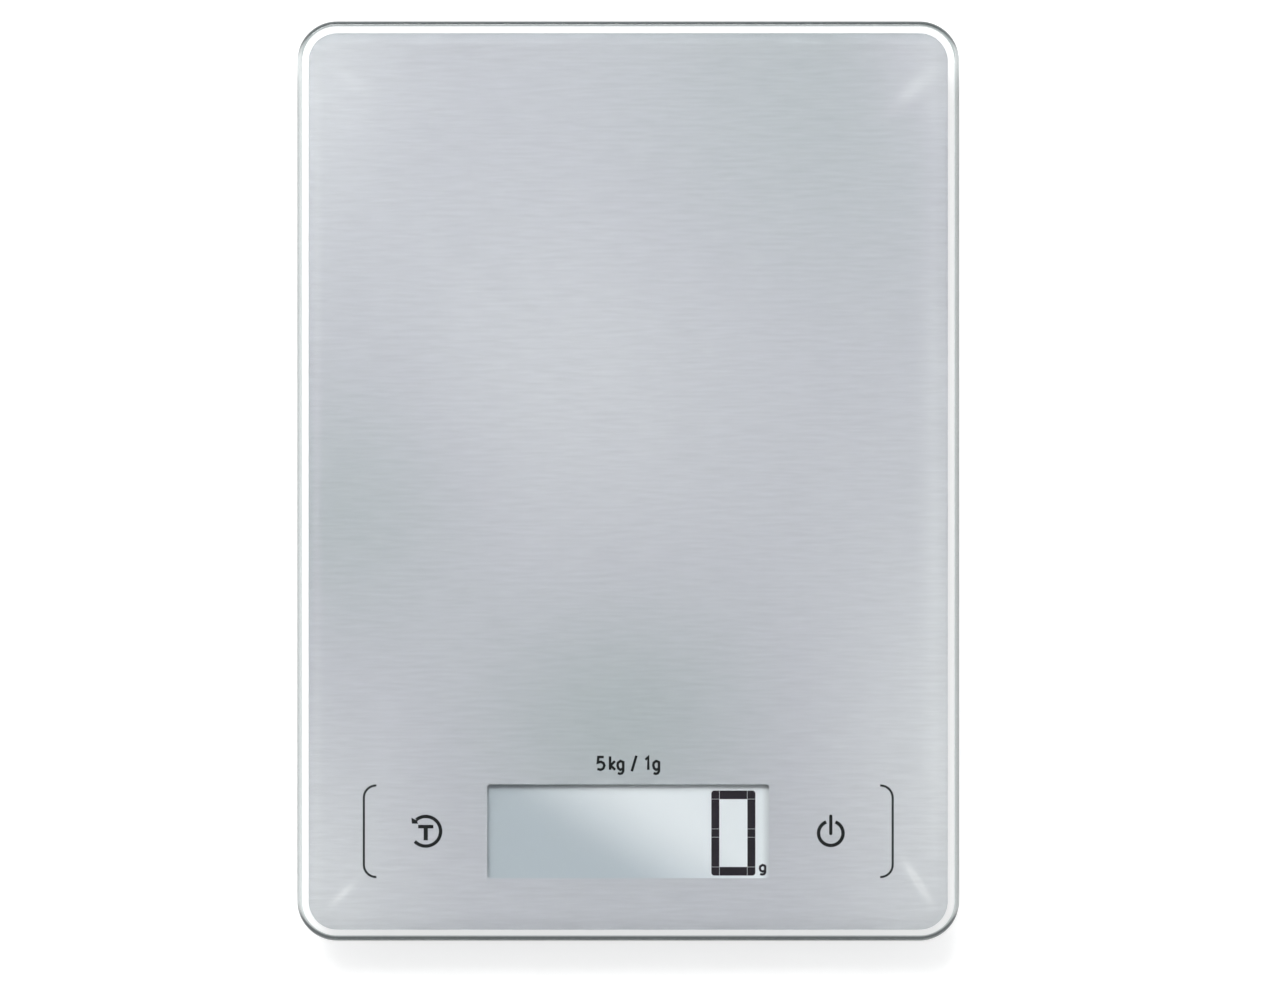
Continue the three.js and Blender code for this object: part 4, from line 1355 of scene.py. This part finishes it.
class SCALE_OT_batteries(ScaleOperator):
    """Makes the three cells and dresses their contacts"""

    bl_idname = "kitchen_scale.batteries"
    bl_label = "Battery Bay"

    STEPS = 48
    SHEET_EDGE = 0.05 * MM

    def build(self, context):
        for number in (1, 2, 3):
            self.cell(number)
            dressed([f"contact_spring_{number}"], "contact_metal")
        contacts = ["bridge_contact_left", "bridge_contact_right"]
        contacts += ["negative_contact", "positive_contact"]
        dressed(contacts, "contact_metal", self.SHEET_EDGE)
        dressed(["battery_lead_positive"], "lead_red")
        dressed(["battery_lead_negative"], "lead_black")

    def cell(self, number):
        """A cell with a sleeve that wraps over its shoulders and bare metal ends."""
        low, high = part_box(f"battery_{number}")
        y, z = (low.y + high.y) / 2, (low.z + high.z) / 2
        radius = (high.y - low.y) / 2
        length = high.x - low.x
        flip = -1 if self.nub_points_left(number) else 1
        middle = (low.x + high.x) / 2
        nub, rise, wrap = 1.9 * MM, 0.8 * MM, 0.35 * MM
        body_end = length - rise
        profile = [
            (0.15 * MM, radius - 1.6 * MM),
            (0.0, radius - 1.5 * MM),
            (0.0, radius - 0.95 * MM),
            (0.12 * MM, radius - 0.9 * MM),
            (0.0, radius - 0.8 * MM),
            (0.06 * MM, radius - 0.3 * MM),
            (wrap, radius),
            (body_end - wrap, radius),
            (body_end - 0.06 * MM, radius - 0.3 * MM),
            (body_end, radius - 0.8 * MM),
            (body_end - 0.12 * MM, radius - 0.9 * MM),
            (body_end - 0.12 * MM, nub + 0.35 * MM),
            (body_end, nub + 0.1 * MM),
            (length - 0.2 * MM, nub),
            (length - 0.05 * MM, nub - 0.15 * MM),
            (length, nub - 0.35 * MM),
        ]
        bare = {0, 1, 2, 10, 11, 12, 13, 14}  # bands of the profile that are metal
        bm = bmesh.new()

        def place(along, a, b):
            return (middle + flip * (along - length / 2), y + a, z + b)

        rings = turned(profile, self.STEPS, place)
        lofted(bm, rings, material_of=lambda index: int(index in bare))
        for face in bm.faces:
            if len(face.verts) > 4:
                face.material_index = 1
        finishes = [finish("cell_sleeve"), finish("contact_metal")]
        cell = made(f"cell_{number}", bm, finishes, "root", "cell_sleeve", smooth_angle=40)
        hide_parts(f"battery_{number}")

    def nub_points_left(self, number):
        """True if the narrow positive end of this cell is at -X."""
        mesh = NODES[f"battery_{number}"].data
        low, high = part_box(f"battery_{number}")
        end = low.x + 0.3 * MM
        middle = (low + high) / 2
        ends = [v.co - middle for v in mesh.vertices if v.co.x < end]
        return max(math.hypot(away.y, away.z) for away in ends) < (high.z - low.z) / 3


class SCALE_OT_electronics(ScaleOperator):
    """Dresses the circuit board, its parts, the touch pads and the leads"""

    bl_idname = "kitchen_scale.electronics"
    bl_label = "Electronics"

    SMALL_EDGE = 0.1 * MM

    def build(self, context):
        screws = [f"board_screw_{number}" for number in (1, 2, 3, 4)]
        dressed(["circuit_board"], "board_laminate", self.SMALL_EDGE)
        dressed(["controller_chip", "unit_switch"], "chip_plastic", self.SMALL_EDGE)
        dressed(["tare_touch_pad", "power_touch_pad"], "conductive_foam")
        dressed(screws, "contact_metal", self.SMALL_EDGE)
        dressed(["cell_lead_" + place for place in PLACES], "lead_grey")


class SCALE_OT_stage(ScaleOperator):
    """Makes the floor, the light and the camera"""

    bl_idname = "kitchen_scale.stage"
    bl_label = "Stage"

    FLOOR_HALF = 6.0
    TILT = 84.5  # camera above the horizon (degrees)
    TARGET = Vector((4.15 * MM, -5.35 * MM, 20.8 * MM))
    DISTANCE = 1.5
    FRAME_WIDTH = 388 * MM
    LAMP_SIZE = (1.25, 0.8)
    LAMP_PLACE = Vector((-0.5, 1.62, 2.13))
    CEILING = (  # tones from the floor's level, 0, to straight above, 1
        (0.05, (0.04, 0.045, 0.05)),
        (0.5, (1.0, 1.0, 1.0)),
        (0.9, (1.0, 1.0, 1.0)),
        (0.985, (0.22, 0.22, 0.22)),
    )
    WALL = (0.5, 0.9, 0.0, 1.0)  # how the left and the right brighten towards the side

    def build(self, context):
        look = context.scene.scale_stage
        self.floor(look)
        self.room(context, look)
        self.lamp(look)
        self.camera(context)
        context.scene.view_settings.view_transform = "Standard"

    def floor(self, look):
        bm = bmesh.new()
        reach = self.FLOOR_HALF
        corners = [(-reach, -reach, 0), (reach, -reach, 0), (reach, reach, 0), (-reach, reach, 0)]
        bm.faces.new([bm.verts.new(corner) for corner in corners])
        mesh = bpy.data.meshes.new("studio_floor")
        bm.to_mesh(mesh)
        bm.free()
        result, wires, shader = material("Studio Floor")
        fixed(shader, Base_Color=rgba(look.floor), Roughness=0.9, Specular_IOR_Level=0.1)
        fixed(shader, Emission_Color=(1.0, 1.0, 1.0, 1.0), Emission_Strength=look.floor_glow)
        below = wires.add("ShaderNodeNewGeometry").outputs["Backfacing"]
        clear = wires.add("ShaderNodeBsdfTransparent")
        surfaces = {0: below, 1: shader.outputs[0], 2: clear.outputs[0]}
        mix = wires.add("ShaderNodeMixShader", surfaces)
        wires.join(mix.outputs[0], result.node_tree.nodes["Material Output"].inputs["Surface"])
        mesh.materials.append(result)
        linked("studio_floor", mesh)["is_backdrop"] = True

    def room(self, context, look):
        """Bright, but darker near the floor and straight above, and plain white to the camera."""
        world = bpy.data.worlds.new("Studio Room")
        world.use_nodes = True
        context.scene.world = world
        wires = Wiring(world.node_tree)
        parts = wires.parts(wires.add("ShaderNodeTexCoord").outputs["Generated"])
        ceiling = wires.stops(parts["Z"], self.CEILING)
        walls = wires.range(wires.maths("ABSOLUTE", parts["X"]), *self.WALL)
        shade = wires.tinted(ceiling, wires.grey(walls), "LIGHTEN")
        seen = wires.add("ShaderNodeLightPath").outputs["Is Camera Ray"]
        colour = wires.tinted(shade, (1.0, 1.0, 1.0, 1.0), "MIX", seen)
        background = world.node_tree.nodes["Background"]
        wires.join(colour, background.inputs["Color"])
        background.inputs["Strength"].default_value = look.sky_strength

    def lamp(self, look):
        data = bpy.data.lights.new("overhead_softbox", "AREA")
        data.shape = "RECTANGLE"
        data.size, data.size_y = self.LAMP_SIZE
        data.energy = look.lamp_power
        lamp = linked("overhead_softbox", data)
        lamp.location = self.LAMP_PLACE
        lamp.rotation_euler = (-self.LAMP_PLACE).to_track_quat("-Z", "Y").to_euler()

    def camera(self, context):
        data = bpy.data.cameras.new("studio_camera")
        data.type = "ORTHO"
        data.ortho_scale = self.FRAME_WIDTH
        data.clip_start = 0.01
        data.clip_end = 20
        camera = linked("studio_camera", data)
        tilt = math.radians(self.TILT)
        away = Vector((0, -math.cos(tilt), math.sin(tilt)))
        camera.location = self.TARGET + away * self.DISTANCE
        camera.rotation_euler = (-away).to_track_quat("-Z", "Y").to_euler()
        context.scene.camera = camera


OPERATORS = (
    SCALE_OT_glass,
    SCALE_OT_film,
    SCALE_OT_print,
    SCALE_OT_display,
    SCALE_OT_tray,
    SCALE_OT_feet,
    SCALE_OT_load_cells,
    SCALE_OT_batteries,
    SCALE_OT_electronics,
    SCALE_OT_stage,
)


class SCALE_PT_panel(Panel):
    bl_idname = "SCALE_PT_panel"
    bl_label = "Kitchen Scale"
    bl_space_type = "VIEW_3D"
    bl_region_type = "UI"
    bl_category = "Kitchen Scale"

    def draw(self, context):
        for setting in SETTINGS:
            box = self.layout.box()
            look = getattr(context.scene, setting)
            for key in look.__annotations__:
                box.prop(look, key)
        for operator in OPERATORS:
            self.layout.operator(operator.bl_idname)


def register():
    for made_class in (*SETTINGS.values(), *OPERATORS, SCALE_PT_panel):
        bpy.utils.register_class(made_class)
    for setting, kind in SETTINGS.items():
        setattr(bpy.types.Scene, setting, PointerProperty(type=kind))


def unregister():
    for setting in SETTINGS:
        delattr(bpy.types.Scene, setting)
    for made_class in reversed((*SETTINGS.values(), *OPERATORS, SCALE_PT_panel)):
        bpy.utils.unregister_class(made_class)


def main():
    register()
    for operator in OPERATORS:
        group, call = operator.bl_idname.split(".")
        getattr(getattr(bpy.ops, group), call)()
    boxes = {"cad": CAD_BOX, "visual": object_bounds()}
    plain = {name: [list(corner) for corner in corners] for name, corners in boxes.items()}


if __name__ == "__main__":
    main()
